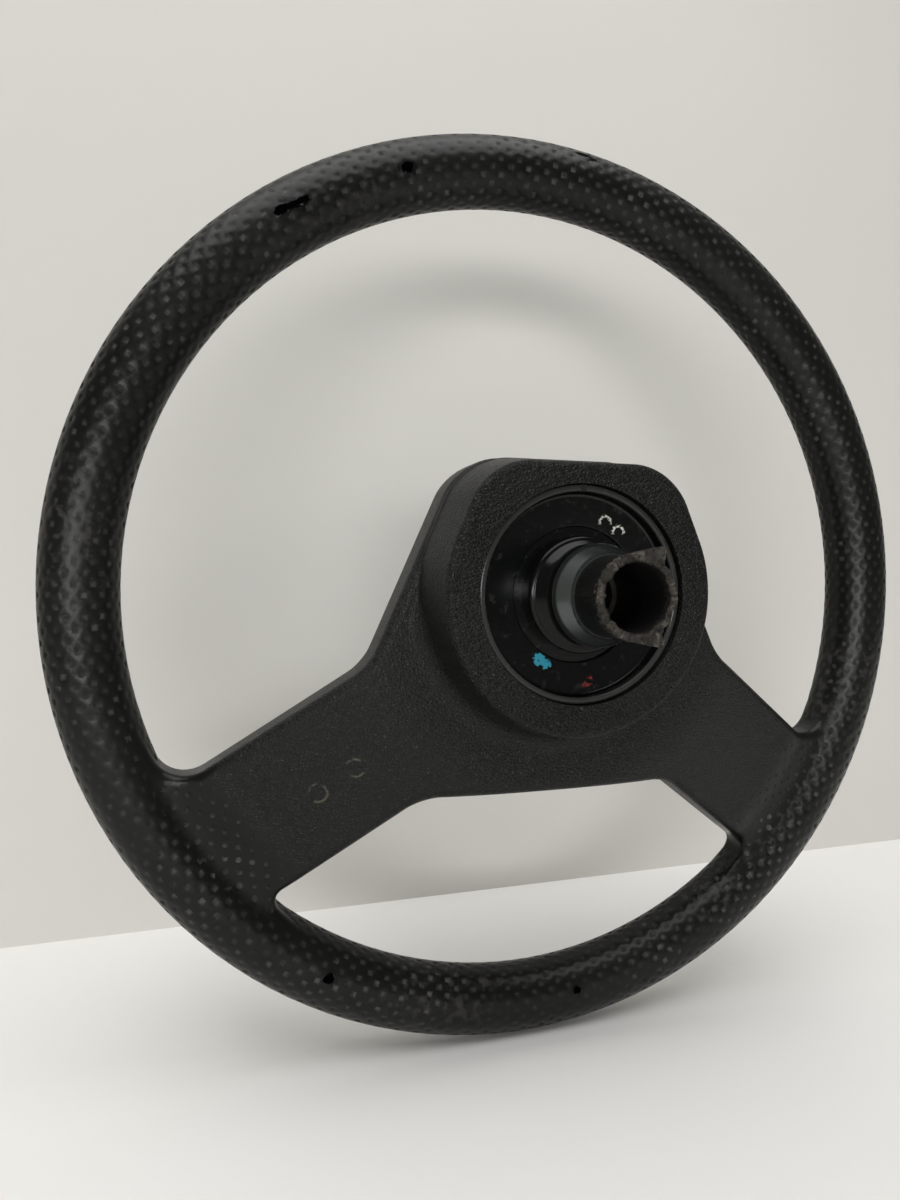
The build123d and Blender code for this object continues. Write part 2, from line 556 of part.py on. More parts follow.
# Shouldered studs that the carrier slides on
with BuildPart() as guide_studs:
    bars(stud_places, STUD_RADIUS, STUD_SEAT_Y, FLANGE_FRONT_Y + STUD_THREAD)
    bars(stud_places, STUD_COLLAR_RADIUS, BASE_FRONT_Y - STUD_COLLAR, BASE_FRONT_Y)
    bars(stud_places, STUD_HEAD_RADIUS, STUD_SEAT_Y - STUD_HEAD, STUD_SEAT_Y)
guide_studs.part.label = "guide_studs"
export_step(guide_studs.part, "parts/guide_studs.step")

# Fixed contact: a brass strip with a button and a tab, on an insulating block
insulator_front = BASE_FRONT_Y - INSULATOR_HEIGHT
strip_front = insulator_front - STRIP_GAUGE
button_front = CARRIER_REAR_Y + MOVING_CONTACT_HEIGHT + HORN_TRAVEL + CONTACT_GAP
with BuildPart() as contact_insulator:
    with BuildSketch(facing_driver(BASE_FRONT_Y)):
        with Locations((0, CONTACT_Z)):
            RectangleRounded(*INSULATOR_SIZE, RIVET_RADIUS)
    extrude(amount=INSULATOR_HEIGHT)
    bars(strip_rivet_places, rivet_hole, insulator_front, BASE_FRONT_Y, mode=Mode.SUBTRACT)
contact_insulator.part.label = "contact_insulator"
export_step(contact_insulator.part, "parts/contact_insulator.step")

with BuildPart() as contact_strip:
    with BuildSketch(facing_driver(insulator_front)):
        with Locations((0, CONTACT_Z)):
            RectangleRounded(*STRIP_SIZE, RIVET_RADIUS)
        with Locations((0, CONTACT_Z - STRIP_TAB[1] / 2)):
            Rectangle(*STRIP_TAB)
    extrude(amount=STRIP_GAUGE)
    bars([(0, CONTACT_Z)], CONTACT_RADIUS, button_front, strip_front)
    bars(strip_rivet_places, rivet_hole, strip_front, insulator_front, mode=Mode.SUBTRACT)
contact_strip.part.label = "contact_strip"
export_step(contact_strip.part, "parts/contact_strip.step")

with BuildPart() as contact_rivets:
    bars(strip_rivet_places, RIVET_RADIUS, strip_front, FLANGE_FRONT_Y)
    bars(strip_rivet_places, RIVET_HEAD_RADIUS, strip_front - RIVET_HEAD, strip_front)
    bars(strip_rivet_places, RIVET_HEAD_RADIUS, FLANGE_FRONT_Y, FLANGE_FRONT_Y + RIVET_HEAD)
contact_rivets.part.label = "contact_rivets"
export_step(contact_rivets.part, "parts/contact_rivets.step")

# Bowed leaf springs, each riveted at its lower foot
spring_rise = CARRIER_RISE - SPRING_GAUGE - SPRING_PLAY
spring_half = SPRING_SPAN / 2
foot_front = BASE_FRONT_Y - SPRING_GAUGE
for name, x in (("horn_spring_right", SPRING_X), ("horn_spring_left", -SPRING_X)):
    with BuildPart() as spring:
        with BuildSketch(Plane(origin=(x, 0, 0), x_dir=(0, 0, 1), z_dir=(-1, 0, 0))):
            with BuildLine():
                Line((-spring_half - SPRING_FOOT, BASE_FRONT_Y), (-spring_half, BASE_FRONT_Y))
                ThreePointArc(
                    (-spring_half, BASE_FRONT_Y),
                    (0, BASE_FRONT_Y - spring_rise),
                    (spring_half, BASE_FRONT_Y),
                )
                Line((spring_half, BASE_FRONT_Y), (spring_half, foot_front))
                ThreePointArc(
                    (spring_half, foot_front),
                    (0, foot_front - spring_rise),
                    (-spring_half, foot_front),
                )
                Line((-spring_half, foot_front), (-spring_half - SPRING_FOOT, foot_front))
                Line((-spring_half - SPRING_FOOT, foot_front), (-spring_half - SPRING_FOOT, BASE_FRONT_Y))
            make_face()
        extrude(amount=SPRING_WIDTH / 2, both=True)
        bars([(x, spring_rivet_z)], rivet_hole, foot_front, BASE_FRONT_Y, mode=Mode.SUBTRACT)
    spring.part.label = name
    export_step(spring.part, f"parts/{name}.step")

with BuildPart() as spring_rivets:
    bars(spring_rivet_places, RIVET_RADIUS, foot_front, FLANGE_FRONT_Y)
    bars(spring_rivet_places, RIVET_HEAD_RADIUS, foot_front - RIVET_HEAD, foot_front)
    bars(spring_rivet_places, RIVET_HEAD_RADIUS, FLANGE_FRONT_Y, FLANGE_FRONT_Y + RIVET_HEAD)
spring_rivets.part.label = "spring_rivets"
export_step(spring_rivets.part, "parts/spring_rivets.step")

# Carrier plate under the pad
post_places = [(sign * x, z) for x, z in POSTS for sign in (1, -1)]
post_hole = CARRIER_SCREW_RADIUS + SCREW_GAP
carrier_half = [(CARRIER_TOP_HALF, CARRIER_TOP), (CARRIER_BOTTOM_HALF, CARRIER_BOTTOM)]
with BuildPart() as horn_carrier:
    with BuildSketch(facing_driver(CARRIER_REAR_Y)):
        with BuildLine():
            FilletPolyline(*both_sides(carrier_half), radius=CARRIER_CORNER_RADIUS, close=True)
        make_face()
        Circle(CARRIER_HOLE_RADIUS, mode=Mode.SUBTRACT)
        with Locations(*stud_places):
            Circle(BUSH_RADIUS + SCREW_GAP, mode=Mode.SUBTRACT)
        with Locations(*post_places):
            Circle(post_hole, mode=Mode.SUBTRACT)
        with Locations((0, CONTACT_Z)):
            Circle(rivet_hole, mode=Mode.SUBTRACT)
    extrude(amount=CARRIER_GAUGE)
horn_carrier.part.label = "horn_carrier"
export_step(horn_carrier.part, "parts/horn_carrier.step")

# Flanged bushes in the carrier, one on each stud
for number, place in enumerate(stud_places, start=1):
    with BuildPart() as guide_bush:
        bars([place], BUSH_FLANGE_RADIUS, CARRIER_FRONT_Y - BUSH_FLANGE, CARRIER_FRONT_Y)
        bars([place], BUSH_RADIUS, CARRIER_FRONT_Y, CARRIER_REAR_Y + BUSH_TAIL)
        bore_front = CARRIER_FRONT_Y - BUSH_FLANGE
        bars([place], STUD_RADIUS + SLIDE_GAP, bore_front, CARRIER_REAR_Y + BUSH_TAIL, mode=Mode.SUBTRACT)
    guide_bush.part.label = f"guide_bush_{number}"
    export_step(guide_bush.part, f"parts/guide_bush_{number}.step")

# Contact rivet on the carrier
with BuildPart() as moving_contact:
    bars([(0, CONTACT_Z)], RIVET_RADIUS, CARRIER_FRONT_Y, CARRIER_REAR_Y)
    bars([(0, CONTACT_Z)], RIVET_HEAD_RADIUS, CARRIER_FRONT_Y - RIVET_HEAD, CARRIER_FRONT_Y)
    bars([(0, CONTACT_Z)], CONTACT_RADIUS, CARRIER_REAR_Y, CARRIER_REAR_Y + MOVING_CONTACT_HEIGHT)
moving_contact.part.label = "moving_contact"
export_step(moving_contact.part, "parts/moving_contact.step")

# Screws from the carrier into the pad's posts
screw_front = CARRIER_REAR_Y - CARRIER_SCREW_LENGTH
with BuildPart() as carrier_screws:
    bars(post_places, CARRIER_SCREW_RADIUS, screw_front, CARRIER_REAR_Y)
    bars(post_places, SCREW_HEAD_RADIUS, CARRIER_REAR_Y, CARRIER_REAR_Y + SCREW_HEAD)
    with BuildSketch(facing_driver(CARRIER_REAR_Y + SCREW_HEAD)):
        with Locations(*post_places):
            Rectangle(2 * SCREW_HEAD_RADIUS, SCREW_SLOT)
    extrude(amount=SCREW_HEAD / 2, mode=Mode.SUBTRACT)
carrier_screws.part.label = "carrier_screws"
export_step(carrier_screws.part, "parts/carrier_screws.step")

# Horn pad: a crowned, drafted shell with screw posts
with BuildPart() as pad_hollow:
    with BuildSketch(facing_driver(PAD_REAR)):
        with BuildLine():
            FilletPolyline(*both_sides(pad_half(-PAD_WALL)), radius=PAD_CORNER_RADIUS - PAD_WALL, close=True)
        make_face()
    extrude(amount=PAD_REAR - PAD_FRONT, taper=PAD_DRAFT)
    with Locations((0, PAD_FRONT + PAD_CROWN_RADIUS, 0)):
        Sphere(PAD_CROWN_RADIUS - PAD_WALL, mode=Mode.INTERSECT)

with BuildPart() as horn_pad:
    with BuildSketch(facing_driver(PAD_REAR)):
        with BuildLine():
            FilletPolyline(*both_sides(pad_half(0)), radius=PAD_CORNER_RADIUS, close=True)
        make_face()
    extrude(amount=PAD_REAR - PAD_FRONT, taper=PAD_DRAFT)
    with Locations((0, PAD_FRONT + PAD_CROWN_RADIUS, 0)):
        Sphere(PAD_CROWN_RADIUS, mode=Mode.INTERSECT)
    fillet(horn_pad.faces().sort_by(Axis.Y)[0].edges(), radius=PAD_EDGE_RADIUS)
    add(pad_hollow.part, mode=Mode.SUBTRACT)
    with BuildSketch(facing_driver(CARRIER_FRONT_Y)):
        with Locations(*post_places):
            Circle(POST_RADIUS)
    extrude(until=Until.NEXT)
    bars(post_places, post_hole, screw_front - SCREW_GAP, CARRIER_FRONT_Y, mode=Mode.SUBTRACT)
horn_pad.part.label = "horn_pad"
export_step(horn_pad.part, "parts/horn_pad.step")
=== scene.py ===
"""Two-spoke car steering wheel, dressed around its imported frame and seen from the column's side."""

import logging
import math
from dataclasses import dataclass
from enum import Enum
from typing import Iterable, Optional, Union

import bmesh
import bpy
from mathutils import Matrix, Vector, noise
from mathutils.bvhtree import BVHTree
from mathutils.kdtree import KDTree


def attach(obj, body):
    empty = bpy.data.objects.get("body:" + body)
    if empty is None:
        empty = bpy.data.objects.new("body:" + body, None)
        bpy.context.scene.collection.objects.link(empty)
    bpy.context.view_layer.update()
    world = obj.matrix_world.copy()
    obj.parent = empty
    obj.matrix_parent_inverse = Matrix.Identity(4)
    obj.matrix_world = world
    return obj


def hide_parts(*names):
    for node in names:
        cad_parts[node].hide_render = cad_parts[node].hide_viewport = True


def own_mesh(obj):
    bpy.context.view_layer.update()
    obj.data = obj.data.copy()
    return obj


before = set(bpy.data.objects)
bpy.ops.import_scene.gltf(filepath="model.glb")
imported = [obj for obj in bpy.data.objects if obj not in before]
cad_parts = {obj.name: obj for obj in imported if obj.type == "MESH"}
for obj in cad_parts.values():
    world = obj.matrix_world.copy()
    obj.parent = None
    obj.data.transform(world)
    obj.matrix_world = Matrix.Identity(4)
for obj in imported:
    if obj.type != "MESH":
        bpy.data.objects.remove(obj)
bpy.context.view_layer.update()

LOG = logging.getLogger("steering_wheel")
MM = 0.001

Point = tuple[float, float, float]
Flat = tuple[float, float]
Colour = tuple[float, float, float, float]


class Body(Enum):
    """Bodies of the frame that new pieces ride on."""

    WHEEL = "wheel"


class Join(Enum):
    """Ways to combine two closed meshes."""

    UNION = "UNION"
    CUT = "DIFFERENCE"


# Shader expressions


class Value:
    """A number that varies over a surface and takes part in Python expressions."""

    def __init__(self, tree: "Tree", socket: bpy.types.NodeSocket) -> None:
        """Keep the socket and the tree that it belongs to."""
        self.tree = tree
        self.socket = socket

    def __add__(self, other: "Number") -> "Value":
        """Sum."""
        return self.tree.math("ADD", self, other)

    def __radd__(self, other: float) -> "Value":
        """Sum with a plain number first."""
        return self.tree.math("ADD", other, self)

    def __sub__(self, other: "Number") -> "Value":
        """Difference."""
        return self.tree.math("SUBTRACT", self, other)

    def __rsub__(self, other: float) -> "Value":
        """Difference with a plain number first."""
        return self.tree.math("SUBTRACT", other, self)

    def __mul__(self, other: "Number") -> "Value":
        """Product."""
        return self.tree.math("MULTIPLY", self, other)

    def __rmul__(self, other: float) -> "Value":
        """Product with a plain number first."""
        return self.tree.math("MULTIPLY", other, self)

    def __pow__(self, other: float) -> "Value":
        """Power."""
        return self.tree.math("POWER", self, other)

    def either(self, other: "Number") -> "Value":
        """The larger of two masks."""
        return self.tree.math("MAXIMUM", self, other)

    def ease(self, low: float, high: float) -> "Value":
        """Smooth step from 0 at low to 1 at high.

        Args:
            low: Where the step starts.
            high: Where it ends.

        Returns:
            The eased value, from 0 to 1.
        """
        settings = {"interpolation_type": "SMOOTHSTEP"}
        step = self.tree.node("ShaderNodeMapRange", settings, {0: self, 1: low, 2: high})
        return Value(self.tree, step.outputs[0])


Number = Union[Value, float]
Feed = Union[Value, bpy.types.NodeSocket, float, Point, Colour]


class Tree:
    """The node tree of one material."""

    def __init__(self, name: str) -> None:
        """Start an empty material with a surface shader.

        Args:
            name: The material's name.
        """
        self.material = bpy.data.materials.new(name)
        self.material.use_nodes = True
        self.material.node_tree.nodes.clear()
        self.shader = self.node("ShaderNodeBsdfPrincipled")
        self.output = self.node("ShaderNodeOutputMaterial", inputs={"Surface": self.shader.outputs[0]})
        self.place = self.node("ShaderNodeTexCoord").outputs["Object"]

    def node(
        self, kind: str, settings: Optional[dict] = None, inputs: Optional[dict] = None,
    ) -> bpy.types.Node:
        """Add any node.

        Args:
            kind: The node's type.
            settings: Its own settings, set first.
            inputs: Values or links of its sockets, by name or number.

        Returns:
            The new node.
        """
        made = self.material.node_tree.nodes.new(kind)
        for key, setting in (settings or {}).items():
            setattr(made, key, setting)
        for key, feed in (inputs or {}).items():
            self.feed(made.inputs[key], feed)
        return made

    def feed(self, socket: bpy.types.NodeSocket, feed: Feed) -> None:
        """Link a value to a socket, or set the socket's own number."""
        if isinstance(feed, Value):
            feed = feed.socket
        if isinstance(feed, bpy.types.NodeSocket):
            self.material.node_tree.links.new(feed, socket)
        else:
            socket.default_value = feed

    def math(self, operation: str, first: Number, second: Number) -> Value:
        """One Math node on two numbers."""
        made = self.node("ShaderNodeMath", {"operation": operation}, {0: first, 1: second})
        return Value(self, made.outputs[0])

    def vector(
        self, operation: str, first: Feed, second: Feed, socket: Union[int, str] = 1,
    ) -> bpy.types.Node:
        """One Vector Math node on two inputs."""
        return self.node("ShaderNodeVectorMath", {"operation": operation}, {0: first, socket: second})

    def axes(self) -> tuple[Value, Value, Value]:
        """The three coordinates in object space."""
        split = self.node("ShaderNodeSeparateXYZ", inputs={0: self.place})
        return tuple(Value(self, split.outputs[axis]) for axis in range(3))

    def noise(self, scale: float, detail: float = 2.0, stretch: Point = (1, 1, 1)) -> Value:
        """Soft noise in object space.

        Args:
            scale: Features per metre.
            detail: Octaves added.
            stretch: Scale along each axis, for streaks.

        Returns:
            The noise, from 0 to 1.
        """
        mapped = self.node("ShaderNodeMapping", inputs={"Vector": self.place, "Scale": stretch})
        inputs = {"Vector": mapped.outputs[0], "Scale": scale, "Detail": detail}
        return Value(self, self.node("ShaderNodeTexNoise", inputs=inputs).outputs[0])

    def away(self, point: Point) -> Value:
        """Distance from a point in object space."""
        return Value(self, self.vector("DISTANCE", self.place, point).outputs["Value"])

    def mark(self, name: str) -> Value:
        """A number kept on the mesh itself."""
        return Value(self, self.node("ShaderNodeAttribute", {"attribute_name": name}).outputs["Fac"])

    def blend(self, factor: Number, first: Feed, second: Feed) -> bpy.types.NodeSocket:
        """Mix two colours."""
        settings = {"data_type": "RGBA"}
        return self.node("ShaderNodeMix", settings, {0: factor, 6: first, 7: second}).outputs[2]

    def bump(self, height: Value, distance: float, strength: float = 1.0) -> None:
        """Feed a height, in units of distance, to the shader's normal."""
        inputs = {"Height": height, "Distance": distance, "Strength": strength}
        self.feed(self.shader.inputs["Normal"], self.node("ShaderNodeBump", inputs=inputs).outputs[0])

    def dress(self, **feeds: Feed) -> bpy.types.Material:
        """Set the shader's sockets, with _ for a space in their names, and give the material."""
        for name, feed in feeds.items():
            self.feed(self.shader.inputs[name.replace("_", " ")], feed)
        return self.material


def tone(red: float, green: float, blue: float) -> Colour:
    """An opaque colour from linear numbers."""
    return (red, green, blue, 1.0)


# Sizes that several pieces share


@dataclass(frozen=True)
class Section:
    """The grip's section: an ellipse turned about the wheel's axis."""

    core: float = 175.8 * MM
    plane: float = -58.0 * MM
    radial: float = 14.2 * MM
    axial: float = 12.8 * MM

    def at(self, turn: float, roll: float, depth: float = 0.0) -> Vector:
        """A point of the grip.

        Args:
            turn: Angle about the wheel's axis, from +X towards +Z.
            roll: Parameter round the section, from the outside towards the column.
            depth: Distance under the surface.

        Returns:
            The point, in metres.
        """
        out = self.core + self.radial * math.cos(roll)
        rise = self.plane + self.axial * math.sin(roll)
        slope = Vector((math.cos(roll) / self.radial, math.sin(roll) / self.axial)).normalized()
        out -= depth * slope.x
        rise -= depth * slope.y
        return Vector((out * math.cos(turn), rise, out * math.sin(turn)))

    def angles(self, point: Vector) -> tuple[float, float]:
        """Turn and roll of a point."""
        out = math.hypot(point.x, point.z) - self.core
        roll = math.atan2((point.y - self.plane) / self.axial, out / self.radial)
        return math.atan2(point.z, point.x), roll

    def inside(self, point: Vector) -> float:
        """Under 1 inside the section, 1 on it, and over 1 outside."""
        out = math.hypot(point.x, point.z) - self.core
        return (out / self.radial) ** 2 + ((point.y - self.plane) / self.axial) ** 2

    def pace(self, roll: float) -> float:
        """Length round the section for each radian of roll."""
        return math.hypot(self.radial * math.sin(roll), self.axial * math.cos(roll))


SECTION = Section()


# Finishes


@dataclass(frozen=True)
class Scuff:
    """A worn patch on the grip."""

    point: Point
    reach: float
    strength: float


@dataclass(frozen=True)
class MouldedSkin:
    """Black foam skin: dimpled and polished on the grip, pebble-grained on the spokes and the shroud, with
    painted shade in the grain's creases and in the pits and gouge.
    """

    name: str = "moulded_skin"
    dark: Colour = tone(0.0036, 0.0039, 0.0034)
    pale: Colour = tone(0.0070, 0.0074, 0.0064)
    plate: Colour = tone(0.0125, 0.0135, 0.0110)
    dust: Colour = tone(0.062, 0.058, 0.052)
    pale_dust: Colour = tone(0.062, 0.061, 0.055)
    # Painted shade for the creases of the pebble grain.
    crease: Colour = tone(0.0022, 0.0024, 0.0022)
    ring: Colour = tone(0.13, 0.12, 0.085)
    # Painted shade inside the pits and the gouge.
    scar_shade: Colour = tone(0.0015, 0.0015, 0.0015)
    gloss: float = 0.22
    relief: float = 0.26 * MM
    cell: float = 1.25 * MM
    cell_bend: float = 500.0
    cell_crease: float = 0.3
    grain_from: float = 152.0 * MM
    grain_full: float = 136.0 * MM
    shroud_zone: Flat = (-22.0 * MM, -6.0 * MM)
    scuffs: tuple[Scuff, ...] = (
        Scuff((0.1764, -0.0456, 0.0240), 0.034, 0.7),
        Scuff((0.0390, -0.0530, -0.1580), 0.040, 0.6),
        Scuff((-0.0880, -0.0530, -0.1370), 0.024, 0.7),
        Scuff((-0.1620, -0.0480, -0.0480), 0.040, 0.6),
        Scuff((0.0849, -0.0454, 0.1566), 0.050, 0.35),
    )
    rings: tuple[Point, ...] = ((0.0788, -0.0309, -0.0646), (0.0919, -0.0361, -0.0743))
    ring_radius: float = 4.0 * MM
    ring_width: float = 0.6 * MM

    def make(self) -> bpy.types.Material:
        """Build the material.

        Returns:
            The material.
        """
        tree = Tree(self.name)
        x, y, z = tree.axes()
        grip = ((x * x + z * z) ** 0.5).ease(self.grain_full, self.grain_from)
        hub = 1 - grip
        shroud = y.ease(*self.shroud_zone)
        pit = tree.mark("hollow")
        broad = tree.noise(16, 3)
        fine = tree.noise(420, 3)
        worn = self._worn(tree)
        grain = self._grain(tree)
        dusty = 0.2 + 0.8 * tree.noise(34, 2).ease(0.38, 0.62)
        dusty = dusty * (0.3 + 0.7 * tree.noise(170, 1).ease(0.4, 0.6))
        base = tree.blend(broad.ease(0.3, 0.72), self.dark, self.pale)
        base = tree.blend(worn * 0.55, base, self.dust)
        base = tree.blend(pit * fine.ease(0.25, 0.55) * dusty, base, self.pale_dust)
        base = tree.blend(hub * (1 - shroud) * 0.6, base, self.plate)
        # Painted shade: the pebble grain's creases are drawn darker on the hub and spokes.
        base = tree.blend(hub * (1 - grain) * 0.5, base, self.crease)
        base = tree.blend(self._ring_marks(tree) * 0.5, base, self.ring)
        # Painted shade: faces inside the damage are drawn near black.
        base = tree.blend(tree.mark("scar_shade"), base, self.scar_shade)
        rough = 0.20 + 0.14 * broad + 0.08 * fine + 0.25 * pit + 0.08 * hub + 0.15 * worn
        tree.bump(grain * hub * (0.8 + 0.5 * shroud) + fine * 0.3, self.relief, 0.9)
        return tree.dress(Base_Color=base, Roughness=rough, Specular_IOR_Level=self.gloss)

    def _grain(self, tree: Tree) -> Value:
        """Height of the pebble grain: 1 on the pebbles, 0 in the creases."""
        bend = {"Vector": tree.place, "Scale": self.cell_bend, "Detail": 1.0}
        warp = tree.node("ShaderNodeTexNoise", inputs=bend).outputs[1]
        centred = tree.vector("SUBTRACT", warp, (0.5, 0.5, 0.5)).outputs[0]
        pushed = tree.vector("SCALE", centred, self.cell, "Scale").outputs[0]
        moved = tree.vector("ADD", tree.place, pushed).outputs[0]
        spots = {"Vector": moved, "Scale": 1 / self.cell}
        cells = tree.node("ShaderNodeTexVoronoi", {"feature": "DISTANCE_TO_EDGE"}, spots)
        return Value(tree, cells.outputs["Distance"]).ease(0.0, self.cell_crease)

    def _worn(self, tree: Tree) -> Value:
        """Mask of the worn patches on the grip."""
        streaks = tree.noise(260, 4).ease(0.5, 0.66)
        total = streaks * 0.0
        for scuff in self.scuffs:
            near = 1 - tree.away(scuff.point).ease(0.2 * scuff.reach, scuff.reach)
            total = total.either(near * streaks * scuff.strength)
        return total

    def _ring_marks(self, tree: Tree) -> Value:
        """Mask of the two pale rings on a spoke."""
        broken = tree.noise(260, 3).ease(0.46, 0.58)
        total = broken * 0.0
        radius, width = self.ring_radius, self.ring_width
        for point in self.rings:
            off = tree.away(point)
            inner = off.ease(radius - 2 * width, radius - width)
            outer = 1 - off.ease(radius - 0.5 * width, radius + 0.4 * width)
            total = total.either(inner * outer * broken)
        return total


@dataclass(frozen=True)
class Dab:
    """A dab of paint on the dish's floor, in millimetres; one with a bare middle is open below."""

    x: float
    z: float
    radius: float
    hollow: float = 0.0


@dataclass(frozen=True)
class GlossBlack:
    """Black paint on the pressed dish, with old paint dabs on its floor and a painted highlight along its
    lip.
    """

    name: str = "gloss_black_paint"
    colour: Colour = tone(0.0024, 0.0028, 0.0027)
    dust: Colour = tone(0.05, 0.05, 0.047)
    gloss: float = 0.3
    floor: float = -7.0 * MM
    # Where the painted highlight along the lip sits.
    lip_highlight_level: Flat = (-3.1 * MM, -2.6 * MM)
    lip_highlight_radius: Flat = (36.4 * MM, 36.9 * MM)
    white: Colour = tone(0.62, 0.62, 0.56)
    white_dabs: tuple[Dab, ...] = (Dab(-11.3, 26.8, 2.9, 1.9), Dab(-16.7, 23.2, 2.9, 1.9))
    blue: Colour = tone(0.02, 0.23, 0.33)
    blue_dabs: tuple[Dab, ...] = (Dab(15.2, -23.6, 2.5), Dab(12.4, -25.4, 2.1))
    red: Colour = tone(0.16, 0.012, 0.012)
    red_dabs: tuple[Dab, ...] = (Dab(-4.2, -32.6, 2.8),)
    ragged: float = 2.2 * MM
    soft: float = 0.3

    def make(self) -> bpy.types.Material:
        """Build the material.

        Returns:
            The material.
        """
        tree = Tree(self.name)
        x, y, z = tree.axes()
        speck = tree.noise(330, 4).ease(0.56, 0.72)
        base = tree.blend(speck * 0.12, self.colour, self.dust)
        # Painted highlight: the rounded top of the lip is drawn paler in the dust colour.
        inner, outer = self.lip_highlight_radius
        lip = y.ease(*self.lip_highlight_level) * (x * x + z * z).ease(inner ** 2, outer ** 2)
        base = tree.blend(lip * 0.6, base, self.dust)
        edge = (tree.noise(900, 3) - 0.5) * self.ragged
        paint = speck * 0.0
        for colour, dabs, flaked in (
            (self.white, self.white_dabs, tree.noise(1100, 2).ease(0.4, 0.5)),
            (self.blue, self.blue_dabs, tree.noise(800, 2).ease(0.34, 0.42)),
            (self.red, self.red_dabs, tree.noise(650, 2).ease(0.5, 0.6)),
        ):
            mask = speck * 0.0
            for dab in dabs:
                mask = mask.either(self._dab(tree, edge, z, dab))
            mask = mask * flaked
            base = tree.blend(mask, base, colour)
            paint = paint.either(mask)
        rough = 0.16 + 0.16 * speck + 0.35 * paint
        tree.bump(tree.noise(800, 2), 0.04 * MM, 0.6)
        return tree.dress(Base_Color=base, Roughness=rough, Specular_IOR_Level=self.gloss)

    def _dab(self, tree: Tree, edge: Value, z: Value, dab: Dab) -> Value:
        """Mask of a dab of paint.

        Args:
            tree: The material's tree.
            edge: Noise that roughens its edge.
            z: Height in object space.
            dab: The dab.

        Returns:
            1 on the paint, 0 off it.
        """
        off = tree.away((dab.x * MM, self.floor, dab.z * MM)) + edge
        mask = 1 - off.ease((dab.radius - self.soft) * MM, dab.radius * MM)
        if dab.hollow:
            mask = mask * off.ease((dab.hollow - self.soft) * MM, dab.hollow * MM)
            mask = mask * z.ease((dab.z - 1.0) * MM, (dab.z - 0.2) * MM)
        return mask


@dataclass(frozen=True)
class SleeveBlack:
    """Black sleeve with turned rings, paler and rough where it is broken, with painted shade in its bore.
    """

    name: str = "sleeve_black"
    colour: Colour = tone(0.0024, 0.0025, 0.0024)
    torn: Colour = tone(0.105, 0.094, 0.080)
    grey: Colour = tone(0.0042, 0.0042, 0.0040)
    # Painted shade for the bore.
    hollow: Colour = tone(0.0024, 0.0021, 0.0019)
    steel: Colour = tone(0.095, 0.105, 0.105)
    gloss: float = 0.2
    broken: Flat = (33.5 * MM, 36.2 * MM)
    bore: Flat = (11.4 * MM, 12.2 * MM)
    cone_foot: Flat = (11.2 * MM, 11.8 * MM)
    cone_top: Flat = (19.2 * MM, 20.2 * MM)
    cone_skin: Flat = (12.5 * MM, 13.0 * MM)
    tube: Flat = (18.5 * MM, 20.5 * MM)

    def make(self) -> bpy.types.Material:
        """Build the material.

        Returns:
            The material.
        """
        tree = Tree(self.name)
        x, y, z = tree.axes()
        fine = tree.noise(700, 4)
        out = (x * x + z * z) ** 0.5
        end = (y + (fine - 0.5) * (6 * MM)).ease(*self.broken)
        bore = 1 - out.ease(*self.bore)
        torn = end * (1 - 0.8 * bore)
        cone = y.ease(*self.cone_foot) * (1 - y.ease(*self.cone_top)) * out.ease(*self.cone_skin)
        base = tree.blend(tree.noise(60, 3).ease(0.35, 0.75) * 0.6, self.colour, self.grey)
        base = tree.blend(cone, base, self.steel)
        # Painted shade: the bore is drawn in a darker black, without the grey tone or the steel.
        base = tree.blend(bore, base, self.hollow)
        patch = tree.noise(190, 2).ease(0.42, 0.62)
        base = tree.blend(torn * (0.1 + 0.3 * fine + 0.6 * patch * fine.ease(0.35, 0.6)), base, self.torn)
        tube = y.ease(*self.tube)
        rough = 0.14 + 0.08 * fine + 0.3 * tube + 0.3 * torn + 0.3 * bore
        rings = tree.noise(1, 2, (60, 2600, 60))
        tree.bump(rings * (0.02 + 0.1 * tube) * (1 - torn) + fine * torn, 0.5 * MM, 0.8)
        return tree.dress(
            Base_Color=base, Roughness=rough, Metallic=cone * 0.9, Specular_IOR_Level=self.gloss,
        )


@dataclass(frozen=True)
class Metal:
    """Bare or plated metal with drawn streaks and tarnish."""

    name: str
    colour: Colour
    tarnish: Colour
    rough: float
    streak: Point = (1, 1, 1)

    def make(self) -> bpy.types.Material:
        """Build the material.

        Returns:
            The material.
        """
        tree = Tree(self.name)
        patches = tree.noise(90, 3)
        streaks = tree.noise(400, 2, self.streak)
        base = tree.blend(patches.ease(0.4, 0.75), self.colour, self.tarnish)
        rough = self.rough + 0.18 * patches + 0.12 * streaks
        tree.bump(streaks, 0.05 * MM, 0.5)
        return tree.dress(Base_Color=base, Roughness=rough, Metallic=1.0)


@dataclass(frozen=True)
class Plastic:
    """Plain moulded plastic with a fine texture."""

    name: str
    colour: Colour
    shade: Colour
    rough: float
    cell: float = 0.6 * MM
    relief: float = 0.08 * MM

    def make(self) -> bpy.types.Material:
        """Build the material.

        Returns:
            The material.
        """
        tree = Tree(self.name)
        patches = tree.noise(45, 3)
        spots = {"Vector": tree.place, "Scale": 1 / self.cell}
        cells = tree.node("ShaderNodeTexVoronoi", {"feature": "F1"}, spots)
        grain = Value(tree, cells.outputs["Distance"])
        base = tree.blend(patches.ease(0.3, 0.75), self.colour, self.shade)
        rough = self.rough + 0.12 * patches
        tree.bump(1 - grain, self.relief, 0.8)
        return tree.dress(Base_Color=base, Roughness=rough)


